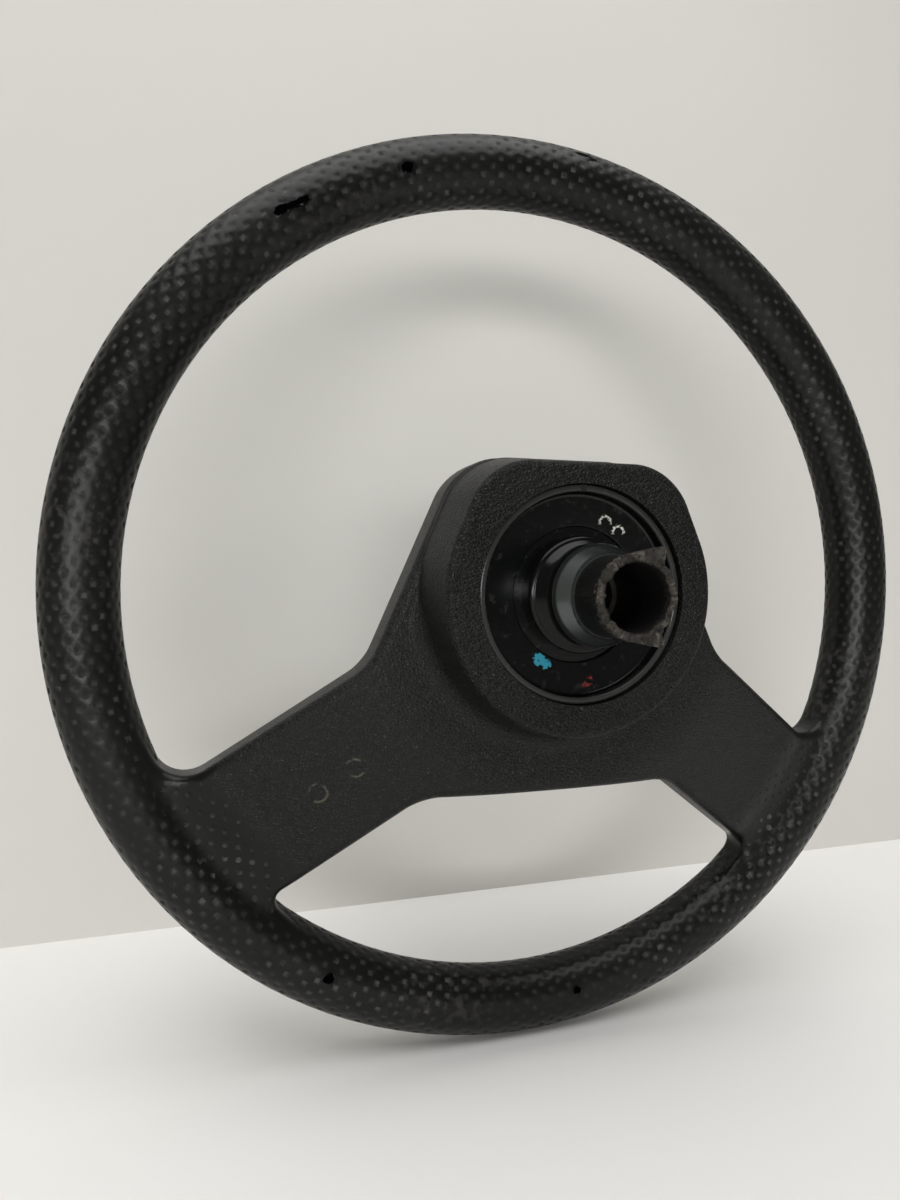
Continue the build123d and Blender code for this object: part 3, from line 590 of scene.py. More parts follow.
@dataclass(frozen=True)
class PaleBoard:
    """Plain painted board of the stage; a one-sided one is seen from its front only."""

    name: str
    colour: Colour
    one_sided: bool = False

    def make(self) -> bpy.types.Material:
        """Build the material.

        Returns:
            The material.
        """
        tree = Tree(self.name)
        shade = tuple(0.97 * part for part in self.colour[:3]) + (1.0,)
        base = tree.blend(tree.noise(3, 2).ease(0.3, 0.7), self.colour, shade)
        tree.dress(Base_Color=base, Roughness=0.6, Specular_IOR_Level=0.2)
        if self.one_sided:
            back = tree.node("ShaderNodeNewGeometry").outputs["Backfacing"]
            clear = tree.node("ShaderNodeBsdfTransparent").outputs[0]
            mixed = tree.node("ShaderNodeMixShader", inputs={0: back, 1: tree.shader.outputs[0], 2: clear})
            tree.feed(tree.output.inputs["Surface"], mixed.outputs[0])
        return tree.material


# Mesh tools


def shown(name: str, bm: bmesh.types.BMesh, crease: float = 40.0) -> bpy.types.Object:
    """Turn a bmesh into an object of the scene.

    Args:
        name: The object's name.
        bm: Its mesh, freed here.
        crease: Edges sharper than this many degrees stay sharp.

    Returns:
        The object, at the origin.
    """
    mesh = bpy.data.meshes.new(name)
    bm.to_mesh(mesh)
    bm.free()
    mesh.shade_smooth()
    mesh.set_sharp_from_angle(angle=math.radians(crease))
    made = bpy.data.objects.new(name, mesh)
    bpy.context.scene.collection.objects.link(made)
    return made


def drop(item: bpy.types.Object) -> None:
    """Remove a helper object and its mesh."""
    mesh = item.data
    bpy.data.objects.remove(item)
    bpy.data.meshes.remove(mesh)


def applied(item: bpy.types.Object) -> bmesh.types.BMesh:
    """The mesh of an object with its modifiers applied, as a new bmesh; the object is removed.

    Args:
        item: The object.

    Returns:
        The finished mesh.
    """
    bpy.context.view_layer.update()
    seen = item.evaluated_get(bpy.context.evaluated_depsgraph_get())
    bm = bmesh.new()
    bm.from_mesh(seen.to_mesh())
    seen.to_mesh_clear()
    drop(item)
    return bm


def combined(first: bmesh.types.BMesh, second: bmesh.types.BMesh, way: Join) -> bmesh.types.BMesh:
    """Combine two closed meshes.

    Args:
        first: The mesh that is changed.
        second: The mesh that is added or cut away.
        way: Whether it is added or cut away.

    Returns:
        The combined mesh; both others are freed.
    """
    base = shown("base", first)
    tool = shown("tool", second)
    modifier = base.modifiers.new("join", "BOOLEAN")
    modifier.operation = way.value
    modifier.solver = "MANIFOLD"
    modifier.object = tool
    bm = applied(base)
    drop(tool)
    open_edges = sum(not edge.is_manifold for edge in bm.edges)
    LOG.info("%s: %d faces, %d open edges", way.name.lower(), len(bm.faces), open_edges)
    return bm


def corner_offset(before: Flat, corner: Flat, after: Flat, radius: float) -> float:
    """Distance from a corner to where a round of this radius starts."""
    first = Vector(before) - Vector(corner)
    second = Vector(after) - Vector(corner)
    return radius / math.tan(first.angle(second) / 2)


def rounded_plate(corners: list[Flat], radii: list[float], segments: int = 8) -> bmesh.types.BMesh:
    """A flat face square to the wheel's axis, with rounded corners.

    Args:
        corners: Its (x, z) corners in order.
        radii: The radius of each corner, 0 for a sharp one.
        segments: Segments of each round.

    Returns:
        The face, at y = 0.
    """
    bm = bmesh.new()
    verts = [bm.verts.new((x, 0.0, z)) for x, z in corners]
    bm.faces.new(verts)
    count = len(corners)
    for index, (vert, radius) in enumerate(zip(verts, radii)):
        if radius:
            offset = corner_offset(corners[index - 1], corners[index], corners[(index + 1) % count], radius)
            bmesh.ops.bevel(
                bm, geom=[vert], offset=offset, offset_type="OFFSET", segments=segments,
                profile=0.5, affect="VERTICES", material=-1,
            )
    return bm


def thickened(bm: bmesh.types.BMesh, start: float, end: float) -> None:
    """Extrude a flat face at y = 0 into a solid between two levels of y."""
    bmesh.ops.translate(bm, vec=(0, start, 0), verts=bm.verts[:])
    grown = bmesh.ops.extrude_face_region(bm, geom=bm.faces[:])["geom"]
    moved = [item for item in grown if isinstance(item, bmesh.types.BMVert)]
    bmesh.ops.translate(bm, vec=(0, end - start, 0), verts=moved)
    bmesh.ops.recalc_face_normals(bm, faces=bm.faces[:])


def level_edges(bm: bmesh.types.BMesh, level: float) -> list[bmesh.types.BMEdge]:
    """Outline edges that lie at one level of y and bound a wall."""
    flat = [edge for edge in bm.edges if all(abs(vert.co.y - level) < 0.01 * MM for vert in edge.verts)]
    return [edge for edge in flat if edge.calc_face_angle(0.0) > 0.5]


def turned(profile: Iterable[Flat], steps: int) -> bmesh.types.BMesh:
    """Turn a closed profile about the wheel's axis.

    Args:
        profile: Its (radius, y) points in order, clear of the axis.
        steps: Segments of the turn.

    Returns:
        The closed ring.
    """
    bm = bmesh.new()
    verts = [bm.verts.new((radius, y, 0.0)) for radius, y in profile]
    edges = [bm.edges.new((verts[index - 1], verts[index])) for index in range(len(verts))]
    bmesh.ops.spin(
        bm, geom=verts + edges, axis=(0, 1, 0), cent=(0, 0, 0), angle=2 * math.pi,
        steps=steps, use_merge=True,
    )
    bmesh.ops.recalc_face_normals(bm, faces=bm.faces[:])
    return bm


def triangles(item: bpy.types.Object) -> int:
    """How many triangles an object has."""
    item.data.calc_loop_triangles()
    return len(item.data.loop_triangles)


def settle(
    item: bpy.types.Object, material: bpy.types.Material, body: Body, slot: str, *nodes: str,
) -> None:
    """Dress a new piece and tie it to the frame.

    Args:
        item: The piece.
        material: Its finish.
        body: The body that it rides on.
        slot: Name of the piece's material slot; not used.
        nodes: The frame's nodes that it stands for.
    """
    item.data.materials.clear()
    item.data.materials.append(material)
    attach(item, body.value)
    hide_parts(*nodes)
    LOG.info("%s: %d triangles on %s", item.name, triangles(item), body.value)


# The moulding


@dataclass
class Dimple:
    """Sizes of the grip's dimples, which are nearly square."""

    mouth: float = 1.4 * MM
    floor: float = 0.92 * MM
    depth: float = 0.5 * MM
    lip: float = 0.03 * MM
    side: float = 0.88
    corner: float = 0.32


@dataclass
class Grip:
    """The dimpled grip: a turned ring whose faces are diamonds, each with a dimple."""

    round_cells: int = 138
    section_cells: int = 14
    dimple: Dimple = None
    wear_scale: float = 30.0

    def __post_init__(self) -> None:
        """Take the standard dimple."""
        self.dimple = self.dimple or Dimple()

    def build(self) -> bmesh.types.BMesh:
        """Make the grip's skin.

        Returns:
            The closed, dimpled ring.
        """
        bm = bmesh.new()
        bmesh.ops.create_circle(bm, cap_ends=False, segments=self.section_cells, radius=1.0)
        bmesh.ops.scale(bm, vec=(SECTION.radial, SECTION.axial, 1.0), verts=bm.verts[:])
        bmesh.ops.translate(bm, vec=(SECTION.core, SECTION.plane, 0.0), verts=bm.verts[:])
        bmesh.ops.spin(
            bm, geom=bm.verts[:] + bm.edges[:], axis=(0, 1, 0), cent=(0, 0, 0), angle=2 * math.pi,
            steps=self.round_cells, use_merge=True,
        )
        grid = bm.edges[:]
        bmesh.ops.poke(bm, faces=bm.faces[:])
        bmesh.ops.dissolve_edges(bm, edges=grid, use_verts=False, use_face_split=False)
        bmesh.ops.recalc_face_normals(bm, faces=bm.faces[:])
        bmesh.ops.bisect_edges(bm, edges=bm.edges[:], cuts=1)
        for vert in bm.verts:
            vert.co = SECTION.at(*SECTION.angles(vert.co))
        cells = bm.faces[:]
        middles = [SECTION.angles(face.calc_center_median()) for face in cells]
        bmesh.ops.inset_individual(bm, faces=cells, thickness=0.4 * self.dimple.mouth)
        self._round(cells, middles, self.dimple.mouth, self.dimple.lip)
        bmesh.ops.inset_individual(bm, faces=cells, thickness=0.3 * self.dimple.mouth)
        self._round(cells, middles, self.dimple.floor, self.dimple.depth)
        return bm

    def _round(self, cells: list, middles: list, radius: float, depth: float) -> None:
        """Lay the corners of each cell on a circle under the surface.

        Args:
            cells: The faces.
            middles: Turn and roll of their middles.
            radius: The circle's radius.
            depth: Its depth where the grip isn't worn.
        """
        for face, (turn, roll) in zip(cells, middles):
            middle = SECTION.at(turn, roll)
            reach = math.hypot(middle.x, middle.z)
            worn = 0.75 + 0.5 * noise.noise(middle * self.wear_scale) + 0.3 * noise.noise(middle * 300.0)
            sunk = depth * min(1.0, max(0.25, worn))
            start = self._bearing(face.verts[0].co, turn, roll)
            second = self._bearing(face.verts[1].co, turn, roll)
            sense = math.copysign(1.0, math.sin(second - start))
            for index, vert in enumerate(face.verts):
                angle = start + sense * 2 * math.pi * index / len(face.verts)
                square = self.dimple.side + self.dimple.corner * (1 - abs(math.cos(2 * angle)))
                new_turn = turn + square * radius * math.cos(angle) / reach
                new_roll = roll + square * radius * math.sin(angle) / SECTION.pace(roll)
                vert.co = SECTION.at(new_turn, new_roll, sunk)

    @staticmethod
    def _bearing(place: Vector, turn: float, roll: float) -> float:
        """Direction on the skin from a cell's middle to a place: 0 is along the rim."""
        other_turn, other_roll = SECTION.angles(place)
        reach = math.hypot(place.x, place.z)
        along = math.remainder(other_turn - turn, 2 * math.pi) * reach
        return math.atan2(math.remainder(other_roll - roll, 2 * math.pi) * SECTION.pace(roll), along)


@dataclass
class Moulding:
    """Grip, spokes and hub shroud, one moulding."""

    thickness: float = 20.0 * MM
    rear: float = -24.0 * MM
    flat_radius: float = 80.0 * MM
    bend: float = 9.2 * MM
    rear_slope: float = -30.0 / 95.8
    front_slope: float = -25.5 / 95.8
    edge: float = 4.0 * MM
    grid: float = 3.0 * MM
    fair_start: float = 148.0 * MM
    fair_end: float = 167.5 * MM
    fair_sink: float = 0.3 * MM
    fair_dive: float = 172.0 * MM
    tuck: float = 1.5 * MM
    shroud_radius: float = 52.5 * MM
    shroud_corner: float = 25.0 * MM
    shroud_corner_x: float = 20.0 * MM
    shroud_corner_z: float = 23.2 * MM
    shroud_flare: float = 3.4 * MM
    shroud_edge: float = 2.5 * MM
    shroud_steps: int = 168
    foot_round: float = 8.0 * MM
    foot_least: float = 0.3 * MM
    foot_fade: Flat = (-14.0, 4.0)
    dish_hole: float = 40.25 * MM
    flange_hole: float = 45.25 * MM
    flange_level: float = -35.75 * MM
    cut_ends: Flat = (5 * MM, -90 * MM)
    recess_level: float = -40.0 * MM
    recess_depth: float = 60 * MM
    soft_angle: float = 58.0

    top_corner: Flat = (39.0, 52.0)
    shoulder: Flat = (74.0, -26.0)
    bottom_corner: Flat = (53.0, -78.3)
    top_slope: float = -0.675
    bottom_slope: float = -0.72
    root_arcs: Flat = (12.5, 6.0)
    root_run: float = 15.0
    root_dip: float = 2.6
    root_end: float = 30.0
    root_steps: int = 8
    outline_radii: Flat = (24.0, 22.0)
    pad_outline: tuple[Flat, ...] = ((37.8, 47.3), (64.8, -66.8))
    pad_radius: float = 14.8 * MM

    damage: tuple[tuple[float, float, Point], ...] = (
        (71.7, 94.9, (2.1, 4.5, 2.7)), (54.4, 88.0, (1.9, 4.2, 3.4)), (56.9, 91.0, (1.6, 3.6, 3.8)),
        (55.6, 89.5, (1.4, 4.0, 3.2)), (-60.0, 99.2, (2.0, 4.0, 2.2)), (-96.6, 104.4, (1.6, 3.4, 1.8)),
        (97.0, 51.1, (1.4, 1.0, 4.6)), (98.4, 57.0, (1.1, 0.9, 3.0)),
    )
    hurt_level: float = 0.997
    hurt_reach: float = 1.45
    hollow_level: float = 0.985
    hollow_span: float = 0.05

    ball: float = 1.9 * MM
    ball_dip: float = 0.5 * MM
    ball_slack: float = 1.003
    ball_rows: int = 8
    ball_columns: int = 6
    ball_radii: Flat = (163.5, 3.2)
    ball_pitch: float = 8.0 * MM
    ball_turn: float = -40.0
    ball_facing: float = 0.86
    ball_clear: float = 1.012

    def build(self) -> bpy.types.Object:
        """Make the moulding.

        Returns:
            The object.
        """
        body = combined(self._plate(), self._shroud(), Join.UNION)
        body = combined(body, self._dish_hole(), Join.CUT)
        body = combined(body, self._pad_recess(), Join.CUT)
        balls = self._ball_places(body)
        body = combined(body, self._balls(balls), Join.CUT)
        grip = combined(Grip().build(), self._damage(), Join.CUT)
        whole = combined(grip, body, Join.UNION)
        self._mark_hollows(whole, balls)
        skin = shown("moulding", whole, self.soft_angle)
        evened = skin.modifiers.new("even_normals", "WEIGHTED_NORMAL")
        evened.mode = "FACE_AREA"
        evened.keep_sharp = True
        return skin

    def _mark_hollows(self, bm: bmesh.types.BMesh, balls: list[Vector]) -> None:
        """Mark the faces inside dimples, for their dust, and inside damage, for its painted shade.

        Args:
            bm: The finished mesh.
            balls: Middles of the balls that cut the spokes' dimples.
        """
        hollow = bm.faces.layers.float.new("hollow")
        scar_shade = bm.faces.layers.float.new("scar_shade")
        spots = KDTree(len(balls))
        for index, place in enumerate(balls):
            spots.insert(place, index)
        spots.balance()
        hurts = [self._damage_place(*hurt).inverted() for hurt in self.damage]
        for face in bm.faces:
            middle = face.calc_center_median()
            level = SECTION.inside(middle)
            if level < self.hurt_level and any((hurt @ middle).length < self.hurt_reach for hurt in hurts):
                face[scar_shade] = 1.0
            elif level < self.hollow_level:
                face[hollow] = min(1.0, (self.hollow_level - level) / self.hollow_span)
            else:
                ball, _, off = spots.find(middle)
                reach = self.ball_slack * self.ball
                if off < self.ball and all((vert.co - ball).length < reach for vert in face.verts):
                    face[hollow] = 1.0

    def _sag(self, radius: float, slope: float) -> float:
        """How far a face of the plate falls towards the rim at a radius."""
        start = self.flat_radius - self.bend
        if radius <= start:
            return 0.0
        if radius >= self.flat_radius + self.bend:
            return slope * (radius - self.flat_radius)
        return slope * (radius - start) ** 2 / (4 * self.bend)

    def _face_level(self, radius: float, side: int) -> float:
        """Level of the plate's rear (1) or front (-1) face, faired into the grip near the rim.

        Args:
            radius: Distance from the axis.
            side: 1 for the rear face, -1 for the front one.

        Returns:
            The level, y.
        """
        slope = self.rear_slope if side > 0 else self.front_slope
        flat = self.rear if side > 0 else self.rear - self.thickness
        if radius <= self.fair_start:
            return flat + self._sag(radius, slope)
        skin, skin_slope = self._skin(min(max(radius, self.fair_end), SECTION.core), side)
        skin -= side * self.fair_sink
        if radius >= self.fair_end:
            share = (radius - self.fair_end) / (self.fair_dive - self.fair_end)
            return skin - side * self.tuck * min(1.0, share)
        length = self.fair_end - self.fair_start
        t = (radius - self.fair_start) / length
        start = flat + self._sag(self.fair_start, slope)
        near = (2 * t ** 3 - 3 * t ** 2 + 1) * start + (t ** 3 - 2 * t ** 2 + t) * length * slope
        return near + (3 * t ** 2 - 2 * t ** 3) * skin + (t ** 3 - t ** 2) * length * skin_slope

    @staticmethod
    def _skin(radius: float, side: int) -> Flat:
        """Level and slope of the grip's skin at a radius."""
        out = (radius - SECTION.core) / SECTION.radial
        rise = math.sqrt(1 - out * out)
        slope = -SECTION.axial * out / SECTION.radial / rise
        return SECTION.plane + side * SECTION.axial * rise, side * slope

    @staticmethod
    def _root_corner(start: Flat, slope: float, radius: float, sign: float) -> tuple[Flat, float]:
        """Sharp corner of the round that leads a spoke's edge into the grip's inner side.

        Args:
            start: A corner of the plate on the spoke's edge, in millimetres.
            slope: The edge's slope towards +X.
            radius: The round's radius.
            sign: 1 for the upper edge, -1 for the lower one.

        Returns:
            The corner, and the bearing at which the round touches the grip.
        """
        inner = (SECTION.core - SECTION.radial) / MM
        along = Vector((1.0, slope)).normalized()
        off = Vector((-along.y, along.x)) * sign
        base = Vector(start) + off * radius
        run = -base.dot(along) + math.sqrt(base.dot(along) ** 2 - base.dot(base) + (inner - radius) ** 2)
        middle = base + along * run
        bearing = math.atan2(middle.y, middle.x)
        touch = middle.normalized() * inner
        tangent = Vector((-touch.y, touch.x)).normalized()
        foot = middle - off * radius
        share = (foot - touch).dot(off) / tangent.dot(off)
        return tuple(touch + tangent * share), bearing

    def _half_outline(self) -> tuple[list[Flat], list[float]]:
        """Half outline of the plate in millimetres, from its top corner round the +X spoke.

        Returns:
            The (x, z) corners and the radius of each.
        """
        inner = (SECTION.core - SECTION.radial) / MM
        core = SECTION.core / MM
        edges, ends = [], []
        rows = ((self.shoulder, self.top_slope, 1.0), (self.bottom_corner, self.bottom_slope, -1.0))
        for (corner, slope, sign), radius in zip(rows, self.root_arcs):
            sharp, bearing = self._root_corner(corner, slope, radius, sign)
            angle = bearing + sign * self.root_run / inner
            dip = inner + self.root_dip
            edges.append([(*sharp, radius), (dip * math.cos(angle), dip * math.sin(angle), 0.0)])
            ends.append(bearing + sign * self.root_end / inner)
        steps = self.root_steps
        turns = [ends[0] + (ends[1] - ends[0]) * step / steps for step in range(steps + 1)]
        far = [(core * math.cos(turn), core * math.sin(turn), 0.0) for turn in turns]
        top, side = self.outline_radii
        rows = [(*self.top_corner, top), (*self.shoulder, side), *edges[0], *far]
        rows += [*edges[1][::-1], (*self.bottom_corner, side)]
        return [row[:2] for row in rows], [row[2] for row in rows]

    def _plate(self) -> bmesh.types.BMesh:
        """The dished plate with its two spokes."""
        places, rounds = self._half_outline()
        half = [(x * MM, z * MM) for x, z in places]
        corners = half + [(-x, z) for x, z in reversed(half)]
        radii = [radius * MM for radius in rounds]
        bm = rounded_plate(corners, radii + radii[::-1], 10)
        thickened(bm, 0.0, self.thickness)
        edges = level_edges(bm, 0.0) + level_edges(bm, self.thickness)
        bmesh.ops.bevel(
            bm, geom=edges, offset=self.edge, offset_type="OFFSET", segments=5,
            profile=0.5, affect="EDGES", material=-1,
        )
        reach = int(SECTION.core / self.grid)
        for normal in (Vector((1, 0, 0)), Vector((0, 0, 1))):
            for step in range(-reach, reach + 1):
                geom = bm.verts[:] + bm.edges[:] + bm.faces[:]
                bmesh.ops.bisect_plane(bm, geom=geom, plane_co=normal * (self.grid * step), plane_no=normal)
        for vert in bm.verts:
            radius = math.hypot(vert.co.x, vert.co.z)
            share = vert.co.y / self.thickness
            front = self._face_level(radius, -1)
            vert.co.y = front + share * (self._face_level(radius, 1) - front)
        return bm

    def _shroud_point(self, bearing: float, offset: float, level: float) -> Vector:
        """A point of the shroud's outline: a wide round below, two rounded corners and a flat top.

        Args:
            bearing: Angle of the outline's normal there.
            offset: How far outside the rear face's outline.
            level: Its y.

        Returns:
            The point.
        """
        away = Vector((math.cos(bearing), math.sin(bearing)))
        corner = Vector((self.shroud_corner_x, self.shroud_corner_z))
        spread = math.acos((self.shroud_radius - self.shroud_corner) / corner.length)
        if math.asin(away.y) <= math.atan2(corner.y, corner.x) - spread:
            flat = away * (self.shroud_radius + offset)
        else:
            near = Vector((math.copysign(corner.x, away.x), corner.y))
            flat = away * (self.shroud_corner + offset) + near
        return Vector((flat.x, level, flat.y))

    def _shroud_profile(self, bearing: float) -> list[Flat]:
        """Wall of the shroud at a bearing, from its rear edge down into the plate.

        Args:
            bearing: Angle of the outline's normal there.

        Returns:
            (offset, y) points; the foot's round fades out towards the top.
        """
        edge = self.shroud_edge
        points = []
        for step in range(6):
            angle = 0.5 * math.pi * step / 5
            points.append((edge * (math.sin(angle) - 1), edge * (math.cos(angle) - 1)))
        low, high = self.foot_fade
        elevation = math.degrees(math.asin(math.sin(bearing)))
        fade = min(1.0, max(0.0, (high - elevation) / (high - low)))
        foot = self.foot_least + (self.foot_round - self.foot_least) * fade * fade * (3 - 2 * fade)
        start = self.rear + foot
        lean = self.shroud_flare * start / self.rear
        for step in range(8):
            angle = 0.5 * math.pi * step / 7
            points.append((lean + foot * (1 - math.cos(angle)), start - foot * math.sin(angle)))
        points.append((lean + foot, self.rear - 0.5 * self.thickness))
        return points

    def _shroud(self) -> bmesh.types.BMesh:
        """The raised shroud, a loop drawn out along its wall's profile."""
        bm = bmesh.new()
        place = Matrix.Rotation(math.pi / 2, 4, "X")
        made = bmesh.ops.create_circle(
            bm, cap_ends=False, segments=self.shroud_steps, radius=1.0, matrix=place,
        )
        bearings = {vert: math.atan2(vert.co.z, vert.co.x) for vert in made["verts"]}
        profiles = {bearing: self._shroud_profile(bearing) for bearing in bearings.values()}
        edges = bm.edges[:]
        first = edges
        for row in range(len(next(iter(profiles.values())))):
            if row:
                grown = bmesh.ops.extrude_edge_only(bm, edges=edges)["geom"]
                edges = [item for item in grown if isinstance(item, bmesh.types.BMEdge)]
                fresh = [item for item in grown if isinstance(item, bmesh.types.BMVert)]
                old = bearings
                bearings = {}
                for vert in fresh:
                    mates = [edge.other_vert(vert) for edge in vert.link_edges]
                    bearings[vert] = next(old[mate] for mate in mates if mate in old)
            for vert, bearing in bearings.items():
                vert.co = self._shroud_point(bearing, *profiles[bearing][row])
        bmesh.ops.contextual_create(bm, geom=first)
        bmesh.ops.contextual_create(bm, geom=edges)
        bmesh.ops.recalc_face_normals(bm, faces=bm.faces[:])
        return bm

    def _dish_hole(self) -> bmesh.types.BMesh:
        """The tool that cuts the hollow for the dish and its flange."""
        bm = bmesh.new()
        behind, before = self.cut_ends
        for radius, near, far in (
            (self.dish_hole, behind, self.flange_level), (self.flange_hole, self.flange_level, before),
        ):
            place = Matrix.Translation((0, (near + far) / 2, 0)) @ Matrix.Rotation(math.pi / 2, 4, "X")
            bmesh.ops.create_cone(
                bm, cap_ends=True, segments=128, radius1=radius, radius2=radius,
                depth=near - far, matrix=place,
            )
        return bm

    def _pad_recess(self) -> bmesh.types.BMesh:
        """The tool that cuts the recess for the horn pad."""
        half = [(x * MM, z * MM) for x, z in self.pad_outline]
        corners = half + [(-x, z) for x, z in reversed(half)]
        bm = rounded_plate(corners, [self.pad_radius] * len(corners), 10)
        thickened(bm, self.recess_level - self.recess_depth, self.recess_level)
        return bm

    def _damage(self) -> bmesh.types.BMesh:
        """The tool that cuts the pits and the gouge in the grip."""
        whole = bmesh.new()
        for hurt in self.damage:
            place = self._damage_place(*hurt)
            point = place.translation
            ball = bmesh.new()
            bmesh.ops.create_icosphere(ball, subdivisions=3, radius=1.0, matrix=place)
            for vert in ball.verts:
                swell = 0.3 * noise.noise(vert.co * 700.0) + 0.15 * noise.noise(vert.co * 2000.0)
                vert.co += (vert.co - point) * swell
            whole = combined(whole, ball, Join.UNION) if whole.faces else ball
        return whole

    @staticmethod
    def _damage_place(turn: float, roll: float, size: Point) -> Matrix:
        """Where a pit lies and how large it is: a ball of radius 1, stretched to it.

        Args:
            turn: Angle round the wheel in degrees.
            roll: Angle round the grip's section in degrees.
            size: Half sizes outwards, along the axis and along the rim, in millimetres.

        Returns:
            The matrix.
        """
        point = SECTION.at(math.radians(turn), math.radians(roll))
        upright = Matrix.Rotation(-math.radians(turn), 4, "Y")
        return Matrix.Translation(point) @ upright @ Matrix.Diagonal((*[part * MM for part in size], 1.0))

    def _ball_places(self, skin: bmesh.types.BMesh) -> list[Vector]:
        """Where balls sit that cut the dimples which run on from the grip over the spokes' roots.

        Args:
            skin: The moulding that they are cut in.

        Returns:
            Middles of the balls, on both faces of each spoke.
        """
        tree = BVHTree.FromBMesh(skin)
        places = []
        outer, step = self.ball_radii
        for row in range(self.ball_rows):
            radius = (outer - step * row) * MM
            pitch = self.ball_pitch / radius
            for index in range(-self.ball_columns, self.ball_columns + 1):
                turn = math.radians(self.ball_turn) + (index + 0.5 * (row % 2)) * pitch
                for side in (1, -1):
                    spot = Vector((side * radius * math.cos(turn), 0.0, radius * math.sin(turn)))
                    for toward in (-1, 1):
                        start = Vector((spot.x, -0.2 * toward, spot.z))
                        hit, normal, _, _ = tree.ray_cast(start, Vector((0, toward, 0)))
                        if hit is None or abs(normal.y) < self.ball_facing:
                            continue
                        if SECTION.inside(hit) < self.ball_clear:
                            continue
                        share = 1.0 - 0.1 * row + 0.5 * noise.noise(hit * 90.0)
                        dip = self.ball_dip * min(1.0, max(0.2, share))
                        places.append(hit + normal * (self.ball - dip))
        return places

    def _balls(self, places: list[Vector]) -> bmesh.types.BMesh:
        """The tool that cuts the spokes' dimples."""
        bm = bmesh.new()
        turn = Matrix.Rotation(math.pi / 2, 4, "X")
        for place in places:
            bmesh.ops.create_uvsphere(
                bm, u_segments=10, v_segments=12, radius=self.ball, matrix=Matrix.Translation(place) @ turn,
            )
        return bm


# The hub


@dataclass
class Dish:
    """The pressed dish with its rounded lip, stepped floor and flange."""

    wall: float = 40.0 * MM
    gauge: float = 2.5 * MM
    lip: float = -2.0 * MM
    lip_round: float = 0.9 * MM
    floor: float = -7.0 * MM
    floor_round: float = 1.6 * MM
    step: float = 1.5 * MM
    step_radius: float = 25.0 * MM
    step_round: float = 0.6 * MM
    hole: float = 15.2 * MM
    flange: float = 45.0 * MM
    flange_rear: float = -36.0 * MM
    flange_front: float = -38.5 * MM
    screw_circle: float = 42.4 * MM
    screw_hole: float = 1.9 * MM
    screw_angles: tuple[float, ...] = (30.0, 150.0, 270.0)
    notch: Point = (2.4 * MM, 1.6 * MM, 10 * MM)

    def build(self) -> bpy.types.Object:
        """Make the dish.

        Returns:
            The dish.
        """
        inner = self.wall - self.gauge
        seat = self.floor - self.step
        under = self.step_radius + self.gauge
        profile = [(self.wall, self.flange_rear)]
        profile += self._arc((self.wall, self.lip), (1, 1), self.lip_round, 0, 90)
        profile += self._arc((inner, self.lip), (-1, 1), self.lip_round, 90, 180)
        profile += self._arc((inner, self.floor), (1, -1), self.floor_round, 0, -90)
        profile += self._arc((self.step_radius, self.floor), (-1, 1), self.step_round, 90, 180)
        profile += [(self.step_radius, seat), (self.hole, seat), (self.hole, seat - self.gauge)]
        profile += [(under, seat - self.gauge), (under, self.floor - self.gauge)]
        profile += [(inner, self.floor - self.gauge), (inner, self.flange_front)]
        profile += [(self.flange, self.flange_front), (self.flange, self.flange_rear)]
        bm = turned(profile, 144)
        tools = bmesh.new()
        for angle in self.screw_angles:
            turn = math.radians(angle)
            x, z = self.screw_circle * math.cos(turn), self.screw_circle * math.sin(turn)
            place = Matrix.Translation((x, self.flange_rear, z)) @ Matrix.Rotation(math.pi / 2, 4, "X")
            bmesh.ops.create_cone(
                tools, cap_ends=True, segments=20, radius1=self.screw_hole, radius2=self.screw_hole,
                depth=8 * self.gauge, matrix=place,
            )
        notch = Matrix.Translation((0, self.lip, self.wall)) @ Matrix.Diagonal((*self.notch, 1.0))
        bmesh.ops.create_cube(tools, size=1.0, matrix=notch)
        return shown("hub_dish_pressed", combined(bm, tools, Join.CUT), 35.0)

    @staticmethod
    def _arc(corner: Flat, out: Flat, radius: float, start: float, end: float) -> list[Flat]:
        """A round at a corner of a profile.

        Args:
            corner: The sharp corner, (radius, y).
            out: Signs of the corner, seen from the round's middle.
            radius: The round's radius.
            start: First angle in degrees.
            end: Last angle in degrees.

        Returns:
            Its points.
        """
        middle = (corner[0] - out[0] * radius, corner[1] - out[1] * radius)
        points = []
        for step in range(6):
            angle = math.radians(start + (end - start) * step / 5)
            points.append((middle[0] + radius * math.cos(angle), middle[1] + radius * math.sin(angle)))
        return points


